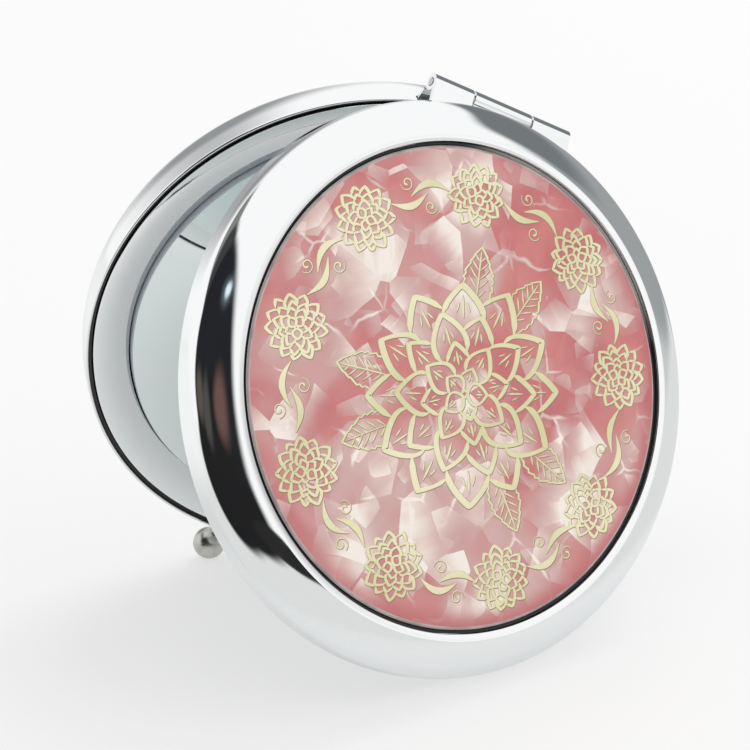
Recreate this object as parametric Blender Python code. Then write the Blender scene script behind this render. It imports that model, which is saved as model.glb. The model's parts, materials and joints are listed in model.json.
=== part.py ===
"""Folding makeup mirror: a round chromed compact of two hinged shells, which stands open like a tent.

Each half is drawn in its own frame: the origin is the middle of the hinge axis, X runs along the
axis, Y points from the hinge to the latch in the parting plane, and Z points to the outer face.
The two halves are then turned apart about the hinge and rolled over until the ball of the latch
touches the ground together with both rims. The origin of the whole part is the middle of its
footprint, on the ground. Lengths are in metres.
"""

import math

import bmesh
import bpy
from mathutils import Vector

# How the compact stands
OPEN_ANGLE = math.radians(40.4)
CLOSED_TO_FULLY_OPEN = math.radians(180.0)

# Shells
SHELL_RADIUS = 0.0350
PARTING_GAP = 0.0003
RIM_WALL = 0.0008
FACE_WALL = 0.0008
FLANK_HEIGHT = 0.0022
RIM_EDGE_ROUND = 0.00012
CORNER_ROUND = 0.0004

# Domed bezel of the lid, with the lip round its recess, and rounded shoulder of the base
BEZEL_WIDTH = 0.00545
BEZEL_ANGLE = math.radians(67.75)
LIP_WIDTH = 0.0011
LIP_STEP = 0.000055
LIP_ROUND = 0.00020
SHOULDER_RUN = 0.0014
BACK_PLACE_SHARE = 0.5

# Inlay in the lid
INLAY_GROOVE = 0.00045
RECESS_DEPTH = 0.0014
INLAY_SUNK = 0.00035
INLAY_BEVEL = 0.00025
INLAY_RISE = 0.00025
INLAY_TAPE_THICKNESS = 0.00025
INLAY_TAPE_INSET = 0.0001

# Gaps between pieces that are glued or seated, and running clearances
SEAT_GAP = 0.00015
RUNNING_GAP = 0.00006
MOVING_GAP = 0.0003

# Liner ring between the rim and the mirror
LINER_WIDTH = 0.0047
LINER_SHEET = 0.0005
LINER_RIM_DROP = 0.00025
LINER_MIRROR_DROP = 0.00125

# Mirrors
MIRROR_THICKNESS = 0.0012
MIRROR_BEVEL = 0.00025
MIRROR_SIDE_GAP = 0.0003
MIRROR_SUNK = 0.00015
LID_MIRROR_TAPE_THICKNESS = 0.00095
MIRROR_TAPE_INSET = 0.0020

# Hinge
HINGE_STANDOFF = 0.0013
KNUCKLE_RADIUS = 0.0011
PIN_RADIUS = 0.0005
PIN_OVERHANG = 0.0001
OUTER_KNUCKLE_LENGTH = 0.0058
MIDDLE_KNUCKLE_LENGTH = 0.0086
KNUCKLE_GAP = 0.0003
LEAF_SHEET = 0.0005
LEAF_DROP = 0.00055
LEAF_REACH = 0.0047

# Latch
BALL_RADIUS = 0.0022
LATCH_TRAVEL = 0.0010
BALL_CLEARANCE = 0.0002
STEM_RADIUS = 0.0007
STEM_HOLE_GAP = 0.00025
LATCH_HEIGHT = 0.0016
COLLAR_RADIUS = 0.0012
COLLAR_THICKNESS = 0.0007
HOOK_THICKNESS = 0.0008
HOOK_WIDTH = 0.0050
HOOK_RISE = 0.0017
NOSE_REACH = 0.0007
NOSE_HEIGHT = 0.00075
NOSE_CHAMFER = 0.00035
STRIKE_LIP_HEIGHT = 0.0005
STRIKE_LIP_WIDTH = 0.0006
STRIKE_LEG_WIDTH = 0.0008
STRIKE_SIDE_GAP = 0.0006
KEEPER_SHEET = 0.0004
KEEPER_RAIL_WIDTH = 0.0006
KEEPER_RAIL_HEIGHT = 0.0015
SPRING_SHEET = 0.0002
SPRING_WIDTH = 0.0012

# Facets of the turned pieces
SHELL_SEGMENTS = 72
SMALL_SEGMENTS = 32
ROUND_STEPS = 8
OVERRUN = 0.0020
MERGE_DISTANCE = 0.000001
SHARP_ANGLE = math.radians(35.0)

# Derived sizes and places
HINGE_TO_CENTRE = SHELL_RADIUS + HINGE_STANDOFF
DISC_CENTRE = (0.0, HINGE_TO_CENTRE, 0.0)
MOUTH = PARTING_GAP / 2
WALL_INSIDE = SHELL_RADIUS - RIM_WALL
RECESS_RADIUS = SHELL_RADIUS - BEZEL_WIDTH
INLAY_RADIUS = RECESS_RADIUS - INLAY_GROOVE
LINER_OUTER = WALL_INSIDE - SEAT_GAP
LINER_INNER = LINER_OUTER - LINER_WIDTH
LINER_HIGH = MOUTH + LINER_RIM_DROP
LINER_LOW = MOUTH + LINER_MIRROR_DROP
MIRROR_RADIUS = LINER_INNER - MIRROR_SIDE_GAP
MIRROR_FACE = LINER_LOW + MIRROR_SUNK
MIRROR_BACK = MIRROR_FACE + MIRROR_THICKNESS
LID_CEILING = MIRROR_BACK + LID_MIRROR_TAPE_THICKNESS + 2 * SEAT_GAP
RECESS_FLOOR = LID_CEILING + FACE_WALL
SHELL_DEPTH = RECESS_FLOOR + RECESS_DEPTH
BASE_CEILING = SHELL_DEPTH - FACE_WALL
FLANK_TOP = MOUTH + FLANK_HEIGHT
HINGE_LENGTH = 2 * OUTER_KNUCKLE_LENGTH + MIDDLE_KNUCKLE_LENGTH + 2 * KNUCKLE_GAP
BALL_FROM_CENTRE = SHELL_RADIUS + LATCH_TRAVEL + BALL_CLEARANCE + BALL_RADIUS
HOOK_BACK = WALL_INSIDE - 2 * SEAT_GAP - COLLAR_THICKNESS - HOOK_THICKNESS - SEAT_GAP
HOOK_FRONT = HOOK_BACK + HOOK_THICKNESS
STRIKE_FRONT = HOOK_FRONT + NOSE_REACH + SEAT_GAP / 2
STRIKE_BACK = STRIKE_FRONT - STRIKE_LIP_WIDTH


def clear_scene():
    for old in list(bpy.data.objects):
        bpy.data.objects.remove(old, do_unlink=True)


def finish_material(name, colour, roughness, metallic):
    material = bpy.data.materials.new(name)
    material.use_nodes = True
    shader = material.node_tree.nodes["Principled BSDF"]
    shader.inputs["Base Color"].default_value = (*colour, 1.0)
    shader.inputs["Roughness"].default_value = roughness
    shader.inputs["Metallic"].default_value = metallic
    return material


def frame_empty(name, parent=None, location=(0.0, 0.0, 0.0), rotation=(0.0, 0.0, 0.0)):
    empty = bpy.data.objects.new(name, None)
    bpy.context.scene.collection.objects.link(empty)
    empty.parent = parent
    empty.location = location
    empty.rotation_euler = rotation
    return empty


def add_object(name, shape, parent, material=None):
    """Makes the bmesh an object in its parent's frame. With no material it is a tool for a Boolean."""
    bmesh.ops.remove_doubles(shape, verts=shape.verts, dist=MERGE_DISTANCE)
    bmesh.ops.recalc_face_normals(shape, faces=shape.faces)
    mesh = bpy.data.meshes.new(name)
    shape.to_mesh(mesh)
    shape.free()
    mesh.shade_smooth()
    mesh.set_sharp_from_angle(angle=SHARP_ANGLE)
    obj = bpy.data.objects.new(name, mesh)
    bpy.context.scene.collection.objects.link(obj)
    obj.parent = parent
    if material:
        mesh.materials.append(material)
    else:
        obj.hide_render = True
        obj.display_type = "WIRE"
    return obj


def turned(name, outline, parent, material=None, centre=(0.0, 0.0, 0.0), along="Z", ring=False):
    """Turns an outline of (radius, height) about an axis. A ring's outline closes on itself."""
    segments = SHELL_SEGMENTS if along == "Z" else SMALL_SEGMENTS
    shape = bmesh.new()
    middle = Vector(centre)
    corners = []
    for radius, height in outline:
        place = Vector((radius, 0.0, height)) if along == "Z" else Vector((radius, height, 0.0))
        corners.append(shape.verts.new(middle + place))
    edges = [shape.edges.new(pair) for pair in zip(corners, corners[1:])]
    if ring:
        edges.append(shape.edges.new((corners[-1], corners[0])))
    axis = Vector((0.0, 0.0, 1.0)) if along == "Z" else Vector((0.0, 1.0, 0.0))
    bmesh.ops.spin(
        shape,
        geom=corners + edges,
        cent=middle,
        axis=axis,
        angle=math.tau,
        steps=segments,
        use_duplicate=False,
    )
    return add_object(name, shape, parent, material)


def prism(name, outline, along, low, high, parent, material=None):
    """Extrudes a flat outline along X, Y or Z. The outline's two values are the other two axes."""
    place = {
        "X": lambda a, b, c: (c, a, b),
        "Y": lambda a, b, c: (a, c, b),
        "Z": lambda a, b, c: (a, b, c),
    }[along]
    shape = bmesh.new()
    start = [shape.verts.new(place(a, b, low)) for a, b in outline]
    end = [shape.verts.new(place(a, b, high)) for a, b in outline]
    shape.faces.new(start)
    shape.faces.new(end)
    count = len(outline)
    for index in range(count):
        after = (index + 1) % count
        shape.faces.new((start[index], start[after], end[after], end[index]))
    return add_object(name, shape, parent, material)


def block(name, low, high, parent, material=None):
    outline = [(low[0], low[1]), (high[0], low[1]), (high[0], high[1]), (low[0], high[1])]
    return prism(name, outline, "Z", low[2], high[2], parent, material)


def rod_along_x(name, radius, low, high, parent, material=None):
    outline = []
    for step in range(SMALL_SEGMENTS):
        angle = math.tau * step / SMALL_SEGMENTS
        outline.append((radius * math.cos(angle), radius * math.sin(angle)))
    return prism(name, outline, "X", low, high, parent, material)


def combine(target, tool, operation):
    change = target.modifiers.new(tool.name, "BOOLEAN")
    change.operation = operation
    change.solver = "EXACT"
    change.object = tool


def arc(centre, run, rise, start, end, steps=ROUND_STEPS):
    """Points of an ellipse's arc from one angle to another."""
    points = []
    for step in range(steps + 1):
        angle = start + (end - start) * step / steps
        points.append((centre[0] + run * math.cos(angle), centre[1] + rise * math.sin(angle)))
    return points


def shell_inside(ceiling):
    """The inside of a shell, from the middle of its ceiling out and down to the mouth."""
    corner = (WALL_INSIDE - CORNER_ROUND, ceiling - CORNER_ROUND)
    round_corner = arc(corner, CORNER_ROUND, CORNER_ROUND, math.pi / 2, 0.0, ROUND_STEPS // 2)
    edge = (WALL_INSIDE + RIM_EDGE_ROUND, MOUTH + RIM_EDGE_ROUND)
    round_edge = arc(edge, RIM_EDGE_ROUND, RIM_EDGE_ROUND, -math.pi, -math.pi / 2, ROUND_STEPS // 4)
    return [(0.0, ceiling), *round_corner, *round_edge]


def shell_rim():
    """The rounded outer edge of the rim, from which the flank goes straight up."""
    centre = (SHELL_RADIUS - RIM_EDGE_ROUND, MOUTH + RIM_EDGE_ROUND)
    return arc(centre, RIM_EDGE_ROUND, RIM_EDGE_ROUND, -math.pi / 2, 0.0, ROUND_STEPS // 4)


def lid_outline():
    lip_outer = RECESS_RADIUS + LIP_WIDTH
    dome_run = (SHELL_RADIUS - lip_outer) / (1 - math.cos(BEZEL_ANGLE))
    dome_rise = (SHELL_DEPTH - LIP_STEP - FLANK_TOP) / math.sin(BEZEL_ANGLE)
    dome = arc((SHELL_RADIUS - dome_run, FLANK_TOP), dome_run, dome_rise, 0.0, BEZEL_ANGLE)
    lip = arc(
        (RECESS_RADIUS + LIP_ROUND, SHELL_DEPTH - LIP_ROUND),
        LIP_ROUND,
        LIP_ROUND,
        math.pi / 2,
        math.pi,
        ROUND_STEPS // 4,
    )
    recess = [(RECESS_RADIUS, RECESS_FLOOR), (0.0, RECESS_FLOOR)]
    crest = [(lip_outer, SHELL_DEPTH)]
    return shell_inside(LID_CEILING) + shell_rim() + dome + crest + lip + recess


def base_outline():
    centre = (SHELL_RADIUS - SHOULDER_RUN, FLANK_TOP)
    shoulder = arc(centre, SHOULDER_RUN, SHELL_DEPTH - FLANK_TOP, 0.0, math.pi / 2)
    return shell_inside(BASE_CEILING) + shell_rim() + shoulder + [(0.0, SHELL_DEPTH)]


def make_shell(name, outline, half, material):
    """A shell with the notch in its rim where the hinge leaf goes in."""
    shell = turned(name, outline, half, material, DISC_CENTRE)
    notch = block(
        name + "_hinge_notch",
        (-HINGE_LENGTH / 2 - SEAT_GAP, -OVERRUN, -OVERRUN),
        (HINGE_LENGTH / 2 + SEAT_GAP, LEAF_REACH + SEAT_GAP, LEAF_DROP + LEAF_SHEET + SEAT_GAP),
        half,
    )
    combine(shell, notch, "DIFFERENCE")
    return shell


def make_liner(name, half, ceiling, latch_slot_width, material):
    """The ring inside the mouth: it slopes down to the mirror and stands on a turned-down flange."""
    slope = (LINER_LOW - LINER_HIGH) / LINER_WIDTH
    flange_outer = LINER_INNER + LINER_SHEET
    outline = [
        (LINER_OUTER, LINER_HIGH),
        (LINER_OUTER, LINER_HIGH + LINER_SHEET),
        (flange_outer, LINER_LOW + LINER_SHEET - slope * LINER_SHEET),
        (flange_outer, ceiling - SEAT_GAP),
        (LINER_INNER, ceiling - SEAT_GAP),
        (LINER_INNER, LINER_LOW),
    ]
    liner = turned(name, outline, half, material, DISC_CENTRE, ring=True)
    hinge_slot = block(
        name + "_hinge_slot",
        (-HINGE_LENGTH / 2 - SEAT_GAP, -OVERRUN, -OVERRUN),
        (HINGE_LENGTH / 2 + SEAT_GAP, LEAF_REACH + SEAT_GAP, SHELL_DEPTH),
        half,
    )
    latch_slot = block(
        name + "_latch_slot",
        (-latch_slot_width / 2, HINGE_TO_CENTRE + HOOK_BACK - LATCH_TRAVEL - SEAT_GAP, -OVERRUN),
        (latch_slot_width / 2, HINGE_TO_CENTRE + SHELL_RADIUS, SHELL_DEPTH),
        half,
    )
    combine(liner, hinge_slot, "DIFFERENCE")
    combine(liner, latch_slot, "DIFFERENCE")
    return liner


def make_mirror(name, half, material):
    outline = [
        (0.0, MIRROR_FACE),
        (MIRROR_RADIUS - MIRROR_BEVEL, MIRROR_FACE),
        (MIRROR_RADIUS, MIRROR_FACE + MIRROR_BEVEL),
        (MIRROR_RADIUS, MIRROR_BACK),
        (0.0, MIRROR_BACK),
    ]
    return turned(name, outline, half, material, DISC_CENTRE)


def make_mirror_tape(name, half, ceiling, material):
    radius = MIRROR_RADIUS - MIRROR_TAPE_INSET
    near = MIRROR_BACK + SEAT_GAP
    far = ceiling - SEAT_GAP
    outline = [(0.0, near), (radius, near), (radius, far), (0.0, far)]
    return turned(name, outline, half, material, DISC_CENTRE)


def make_inlay(half, pearl, tape_material):
    tape_low = RECESS_FLOOR + SEAT_GAP
    tape_high = tape_low + INLAY_TAPE_THICKNESS
    tape_radius = RECESS_RADIUS - INLAY_TAPE_INSET
    tape_outline = [(0.0, tape_low), (tape_radius, tape_low), (tape_radius, tape_high), (0.0, tape_high)]
    turned("lid_inlay_tape", tape_outline, half, tape_material, DISC_CENTRE)
    back = tape_high + SEAT_GAP
    face = SHELL_DEPTH - INLAY_SUNK
    dome = arc((0.0, face), INLAY_RADIUS - INLAY_BEVEL, INLAY_RISE, 0.0, math.pi / 2, ROUND_STEPS // 2)
    outline = [(0.0, back), (INLAY_RADIUS, back), (INLAY_RADIUS, face - INLAY_BEVEL), *dome]
    turned("lid_inlay", outline, half, pearl, DISC_CENTRE)


def make_hinge_leaf(name, half, ceiling, knuckles, others, material):
    """A bent plate with a foot inside the shell and rolled knuckles on the hinge axis."""
    low = LEAF_DROP
    high = LEAF_DROP + LEAF_SHEET
    foot = ceiling - SEAT_GAP
    bend = LEAF_REACH - LEAF_SHEET
    profile = [(0.0, low), (LEAF_REACH, low), (LEAF_REACH, foot), (bend, foot), (bend, high), (0.0, high)]
    leaf = prism(name, profile, "X", -HINGE_LENGTH / 2, HINGE_LENGTH / 2, half, material)
    for index, (start, end) in enumerate(others):
        gap = block(
            f"{name}_gap_{index}",
            (start - KNUCKLE_GAP, -OVERRUN, -OVERRUN),
            (end + KNUCKLE_GAP, KNUCKLE_RADIUS + MOVING_GAP, OVERRUN),
            half,
        )
        combine(leaf, gap, "DIFFERENCE")
    for index, (start, end) in enumerate(knuckles):
        barrel = rod_along_x(f"{name}_barrel_{index}", KNUCKLE_RADIUS, start, end, half)
        combine(leaf, barrel, "UNION")
    bore_end = HINGE_LENGTH / 2 + OVERRUN
    bore = rod_along_x(name + "_bore", PIN_RADIUS + RUNNING_GAP, -bore_end, bore_end, half)
    combine(leaf, bore, "DIFFERENCE")
    return leaf


def make_latch_button(slide, material):
    """Ball, stem and stop collar, turned about the slide's axis. Its origin is the ball's centre."""
    meets_stem = math.asin(STEM_RADIUS / BALL_RADIUS)
    ball = arc((0.0, 0.0), BALL_RADIUS, BALL_RADIUS, math.pi / 2, -math.pi / 2 + meets_stem, 2 * ROUND_STEPS)
    collar_outer = WALL_INSIDE - 2 * SEAT_GAP - BALL_FROM_CENTRE
    collar_inner = collar_outer - COLLAR_THICKNESS
    outline = [
        *ball,
        (STEM_RADIUS, collar_outer),
        (COLLAR_RADIUS, collar_outer),
        (COLLAR_RADIUS, collar_inner),
        (0.0, collar_inner),
    ]
    return turned("latch_button", outline, slide, material, along="Y")


def make_latch_hook(slide, material):
    """The plate behind the collar. Its nose stands out of the mouth and reaches outwards."""
    back = HOOK_BACK - BALL_FROM_CENTRE
    front = HOOK_FRONT - BALL_FROM_CENTRE
    top = -HOOK_RISE - LATCH_HEIGHT
    foot = BASE_CEILING - 2 * SEAT_GAP - KEEPER_SHEET - LATCH_HEIGHT
    nose = front + NOSE_REACH
    outline = [
        (back, top),
        (nose - NOSE_CHAMFER, top),
        (nose, top + NOSE_CHAMFER),
        (nose, top + NOSE_HEIGHT),
        (front, top + NOSE_HEIGHT),
        (front, foot),
        (back, foot),
    ]
    return prism("latch_hook", outline, "X", -HOOK_WIDTH / 2, HOOK_WIDTH / 2, slide, material)


def make_strike(half, material):
    """The lip in the lid that the hook's nose goes under, on two legs beside the hook."""
    lip_top = HOOK_RISE - NOSE_HEIGHT - SEAT_GAP
    lip_low = lip_top - STRIKE_LIP_HEIGHT
    inner = HOOK_WIDTH / 2 + STRIKE_SIDE_GAP
    outer = inner + STRIKE_LEG_WIDTH
    foot = LID_CEILING - SEAT_GAP
    outline = [
        (-outer, lip_low),
        (outer, lip_low),
        (outer, foot),
        (inner, foot),
        (inner, lip_top),
        (-inner, lip_top),
        (-inner, foot),
        (-outer, foot),
    ]
    back = HINGE_TO_CENTRE + STRIKE_BACK
    front = HINGE_TO_CENTRE + STRIKE_FRONT
    return prism("lid_strike", outline, "Y", back, front, half, material)


def make_keeper(half, material):
    """A channel on the base's floor, in which the hook slides."""
    inner = HOOK_WIDTH / 2 + SEAT_GAP
    outer = inner + KEEPER_RAIL_WIDTH
    foot = BASE_CEILING - SEAT_GAP
    floor = foot - KEEPER_SHEET
    rail_top = floor - KEEPER_RAIL_HEIGHT
    outline = [
        (-outer, foot),
        (outer, foot),
        (outer, rail_top),
        (inner, rail_top),
        (inner, floor),
        (-inner, floor),
        (-inner, rail_top),
        (-outer, rail_top),
    ]
    back = HINGE_TO_CENTRE + LINER_INNER + LINER_SHEET + SEAT_GAP
    front = HINGE_TO_CENTRE + HOOK_FRONT
    return prism("latch_keeper", outline, "Y", back, front, half, material)


def make_spring(half, material):
    """A bowed leaf spring between the liner's flange and the hook."""
    half_length = HOOK_WIDTH / 2 - SEAT_GAP
    back = HINGE_TO_CENTRE + LINER_INNER + LINER_SHEET + SEAT_GAP
    front = HINGE_TO_CENTRE + HOOK_BACK - SEAT_GAP - SPRING_SHEET
    bow = front - back
    outer_side = []
    inner_side = []
    for step in range(2 * ROUND_STEPS + 1):
        share = 2 * step / (2 * ROUND_STEPS) - 1
        across = half_length * share
        crown = bow * math.cos(math.pi / 2 * share)
        inner_side.append((across, back + crown))
        outer_side.append((across, back + crown + SPRING_SHEET))
    outline = inner_side + outer_side[::-1]
    foot = BASE_CEILING - 2 * SEAT_GAP - KEEPER_SHEET
    return prism("latch_spring", outline, "Z", foot - SPRING_WIDTH, foot, half, material)


def standing_roll():
    """The roll at which the latch ball and both rims touch the ground together."""
    half_angle = OPEN_ANGLE / 2
    lean = math.sin(half_angle)
    ball_drop = BALL_FROM_CENTRE * math.cos(half_angle) - (LATCH_HEIGHT - MOUTH) * lean
    square = ball_drop**2 + (SHELL_RADIUS * lean) ** 2
    reach = SHELL_RADIUS**2 - BALL_RADIUS**2
    root = math.sqrt((ball_drop * BALL_RADIUS) ** 2 + square * reach)
    return math.acos((root - ball_drop * BALL_RADIUS) / square)


def put_on_ground(stand):
    """Moves the whole part so that the middle of its footprint is the origin."""
    bpy.context.view_layer.update()
    graph = bpy.context.evaluated_depsgraph_get()
    corners = []
    for obj in bpy.context.scene.objects:
        if obj.type == "MESH" and not obj.hide_render:
            solid = obj.evaluated_get(graph)
            corners += [solid.matrix_world @ vertex.co for vertex in solid.data.vertices]
    low = [min(corner[axis] for corner in corners) for axis in range(3)]
    high = [max(corner[axis] for corner in corners) for axis in range(3)]
    stand.location = (-(low[0] + high[0]) / 2, -(low[1] + high[1]) / 2, -low[2])
    bpy.context.view_layer.update()
    print("overall size", [round(high[axis] - low[axis], 5) for axis in range(3)])


clear_scene()
chrome = finish_material("polished_chrome", (0.78, 0.80, 0.81), 0.08, 1.0)
steel = finish_material("plated_steel", (0.62, 0.63, 0.64), 0.25, 1.0)
silvered = finish_material("silvered_glass", (0.80, 0.86, 0.85), 0.03, 1.0)
pearl_pink = finish_material("pink_pearl_resin", (0.72, 0.36, 0.36), 0.15, 0.0)
black_tape = finish_material("black_tape", (0.02, 0.02, 0.02), 0.8, 0.0)
foam_tape = finish_material("foam_tape", (0.70, 0.70, 0.68), 0.9, 0.0)

# The stand and the two halves, which meet at the hinge axis
roll = standing_roll()
lean_back = -(math.pi / 2 - OPEN_ANGLE / 2)
stand = frame_empty("stand", rotation=(0.0, roll, 0.0))
lid = frame_empty("lid_frame", stand, rotation=(lean_back, 0.0, math.pi))
base = frame_empty("base_frame", stand, rotation=(lean_back, 0.0, 0.0))
slide = frame_empty("latch_frame", base, (0.0, HINGE_TO_CENTRE + BALL_FROM_CENTRE, LATCH_HEIGHT))

# Knuckles along the hinge axis: the lid has the outer two and the base the middle one
half_middle = MIDDLE_KNUCKLE_LENGTH / 2
inner_end = half_middle + KNUCKLE_GAP
middle_knuckle = [(-half_middle, half_middle)]
outer_knuckles = [(-HINGE_LENGTH / 2, -inner_end), (inner_end, HINGE_LENGTH / 2)]

# Lid
make_shell("lid_shell", lid_outline(), lid, chrome)
make_inlay(lid, pearl_pink, black_tape)
strike_slot = HOOK_WIDTH + 2 * (STRIKE_SIDE_GAP + STRIKE_LEG_WIDTH + SEAT_GAP)
make_liner("lid_liner", lid, LID_CEILING, strike_slot, chrome)
make_mirror("lid_mirror", lid, silvered)
make_mirror_tape("lid_mirror_tape", lid, LID_CEILING, foam_tape)
make_strike(lid, steel)
make_hinge_leaf("lid_hinge_leaf", lid, LID_CEILING, outer_knuckles, middle_knuckle, chrome)

# Base
base_shell = make_shell("base_shell", base_outline(), base, chrome)
wall_hole = [
    (0.0, SHELL_RADIUS + OVERRUN - BALL_FROM_CENTRE),
    (STEM_RADIUS + STEM_HOLE_GAP, SHELL_RADIUS + OVERRUN - BALL_FROM_CENTRE),
    (STEM_RADIUS + STEM_HOLE_GAP, WALL_INSIDE - OVERRUN - BALL_FROM_CENTRE),
    (0.0, WALL_INSIDE - OVERRUN - BALL_FROM_CENTRE),
]
combine(base_shell, turned("stem_hole", wall_hole, slide, along="Y"), "DIFFERENCE")
hook_slot = HOOK_WIDTH + 2 * (SEAT_GAP + KEEPER_RAIL_WIDTH)
make_liner("base_liner", base, BASE_CEILING, hook_slot, chrome)
make_mirror("base_mirror", base, silvered)
make_mirror_tape("base_mirror_tape", base, BASE_CEILING, foam_tape)
make_hinge_leaf("base_hinge_leaf", base, BASE_CEILING, middle_knuckle, outer_knuckles, chrome)
pin_end = HINGE_LENGTH / 2 + PIN_OVERHANG
rod_along_x("hinge_pin", PIN_RADIUS, -pin_end, pin_end, base, steel)
make_keeper(base, steel)
make_spring(base, steel)

# Latch
make_latch_button(slide, chrome)
make_latch_hook(slide, steel)

put_on_ground(stand)
hinge_axis = lid.matrix_world.to_3x3() @ Vector((1.0, 0.0, 0.0))
press_axis = base.matrix_world.to_3x3() @ Vector((0.0, -1.0, 0.0))
print("roll", round(math.degrees(roll), 3))
print("hinge axis through", [round(value, 6) for value in stand.matrix_world.translation])
print("hinge axis, which opens the lid by the right hand", [round(value, 6) for value in hinge_axis])
print("hinge range", -math.degrees(OPEN_ANGLE), math.degrees(CLOSED_TO_FULLY_OPEN - OPEN_ANGLE))
print("latch press axis", [round(value, 6) for value in press_axis], "travel", LATCH_TRAVEL)
half_facet = math.pi / SHELL_SEGMENTS
back_reach = BACK_PLACE_SHARE * SHELL_RADIUS
back_across = back_reach * math.cos(half_facet)
back_along = HINGE_TO_CENTRE + back_reach * math.sin(half_facet)
back_place = base.matrix_world @ Vector((back_across, back_along, SHELL_DEPTH))
back_normal = base.matrix_world.to_3x3() @ Vector((0.0, 0.0, 1.0))
print("back face", [round(value, 6) for value in back_place], [round(value, 6) for value in back_normal])
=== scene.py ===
# %% [markdown]
# A folding makeup mirror in chrome, glass and pearl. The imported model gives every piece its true
# size and place. This file gives them their looks: it turns finer shells, rings and discs over the
# packed ones, lays a gilt print on the pearl, and lights the whole on a pale studio floor.

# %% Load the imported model
import json
import math
import random

import bmesh
import bpy
from mathutils import Euler, Matrix, Vector


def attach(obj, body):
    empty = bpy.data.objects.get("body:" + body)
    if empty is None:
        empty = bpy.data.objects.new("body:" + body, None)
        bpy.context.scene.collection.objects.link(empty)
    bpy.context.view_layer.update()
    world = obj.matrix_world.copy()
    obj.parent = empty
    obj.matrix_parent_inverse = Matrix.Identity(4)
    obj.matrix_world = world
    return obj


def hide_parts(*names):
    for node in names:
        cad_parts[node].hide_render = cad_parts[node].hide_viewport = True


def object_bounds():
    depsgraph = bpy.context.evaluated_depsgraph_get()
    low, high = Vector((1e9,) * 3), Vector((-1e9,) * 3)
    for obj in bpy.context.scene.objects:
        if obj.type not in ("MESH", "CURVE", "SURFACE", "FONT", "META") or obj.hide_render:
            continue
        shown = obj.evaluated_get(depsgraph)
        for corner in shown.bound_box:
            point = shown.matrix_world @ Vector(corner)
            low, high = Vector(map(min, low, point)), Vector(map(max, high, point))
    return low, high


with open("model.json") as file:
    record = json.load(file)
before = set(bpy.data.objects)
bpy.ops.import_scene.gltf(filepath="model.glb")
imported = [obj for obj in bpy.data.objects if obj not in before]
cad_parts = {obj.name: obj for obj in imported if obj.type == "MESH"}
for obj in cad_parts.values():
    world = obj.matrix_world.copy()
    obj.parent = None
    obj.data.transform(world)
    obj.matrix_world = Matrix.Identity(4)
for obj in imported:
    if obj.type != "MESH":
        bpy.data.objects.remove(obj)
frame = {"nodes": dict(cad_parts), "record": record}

frame_low, frame_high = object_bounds()
MM = 0.001
print("frame box in mm", [round(side / MM, 2) for side in frame_high - frame_low])

# %% [markdown]
# The camera comes first, because everything else is compared with the photograph through it. A long
# lens from some 0.3 m gives the photograph's flat perspective. The camera looks down by 19 degrees
# and is rolled by 3 degrees, so it is turned by azimuth, then tilt, then roll.

# %% Camera
CAMERA_PLACE = Vector((-118.161, -273.172, 134.565)) * MM
CAMERA_AZIMUTH = math.radians(22.94)
CAMERA_DOWN = math.radians(19.13)
CAMERA_ROLL = math.radians(3.30)
LENS_MM = 119.34
SENSOR_MM = 36.0

scene = bpy.context.scene


def add_object(name, data):
    """A new object in the scene. It stays at the origin unless something moves it."""
    made = bpy.data.objects.new(name, data)
    scene.collection.objects.link(made)
    return made


camera_data = bpy.data.cameras.new("camera")
camera_data.lens = LENS_MM
camera_data.sensor_width = SENSOR_MM
camera_data.clip_start = 1 * MM
camera = add_object("camera", camera_data)
aim = Euler((math.pi / 2 - CAMERA_DOWN, 0.0, -CAMERA_AZIMUTH)).to_matrix()
rolled = aim @ Matrix.Rotation(-CAMERA_ROLL, 3, "Z")
camera.matrix_world = Matrix.Translation(CAMERA_PLACE) @ rolled.to_4x4()
scene.camera = camera
scene.view_settings.view_transform = "Standard"
distance = (CAMERA_PLACE - (frame_low + frame_high) / 2).length
print("camera is", round(distance / MM), "mm from the mirror")

# %% [markdown]
# Each half of the compact is easiest to shape in a frame of its own: the origin on the hinge axis,
# X along it, Y towards the latch in the parting plane, Z out through the shell. The joints in the
# record say where that frame lies in the world, so nothing here is placed by eye.

# %% The frames of the two halves
joints = {joint["name"]: joint for joint in frame["record"]["behaviour"]["joints"]}
hinge_place = Vector(joints["lid_hinge"]["pos_m"])
hinge_axis = Vector(joints["lid_hinge"]["axis"]).normalized()
open_angle = -math.radians(joints["lid_hinge"]["range_deg"][0])
base_along = -Vector(joints["latch_press"]["axis"]).normalized()
lid_along = Matrix.Rotation(open_angle, 3, hinge_axis) @ base_along


def half_frame(across, along):
    """The matrix that takes a half's own coordinates to the world."""
    outwards = across.cross(along)
    turn = Matrix((across, along, outwards)).transposed()
    return Matrix.Translation(hinge_place) @ turn.to_4x4()


LID = half_frame(hinge_axis, lid_along)
BASE = half_frame(-hinge_axis, base_along)


def size_of(node, half):
    """Lowest and highest corner of a CAD node, measured in the half's own frame."""
    to_half = half.inverted()
    places = [to_half @ vertex.co for vertex in frame["nodes"][node].data.vertices]
    low = Vector([min(place[axis] for place in places) for axis in range(3)])
    high = Vector([max(place[axis] for place in places) for axis in range(3)])
    return low, high


def width_of(node, half):
    low, high = size_of(node, half)
    return high.x - low.x


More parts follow.
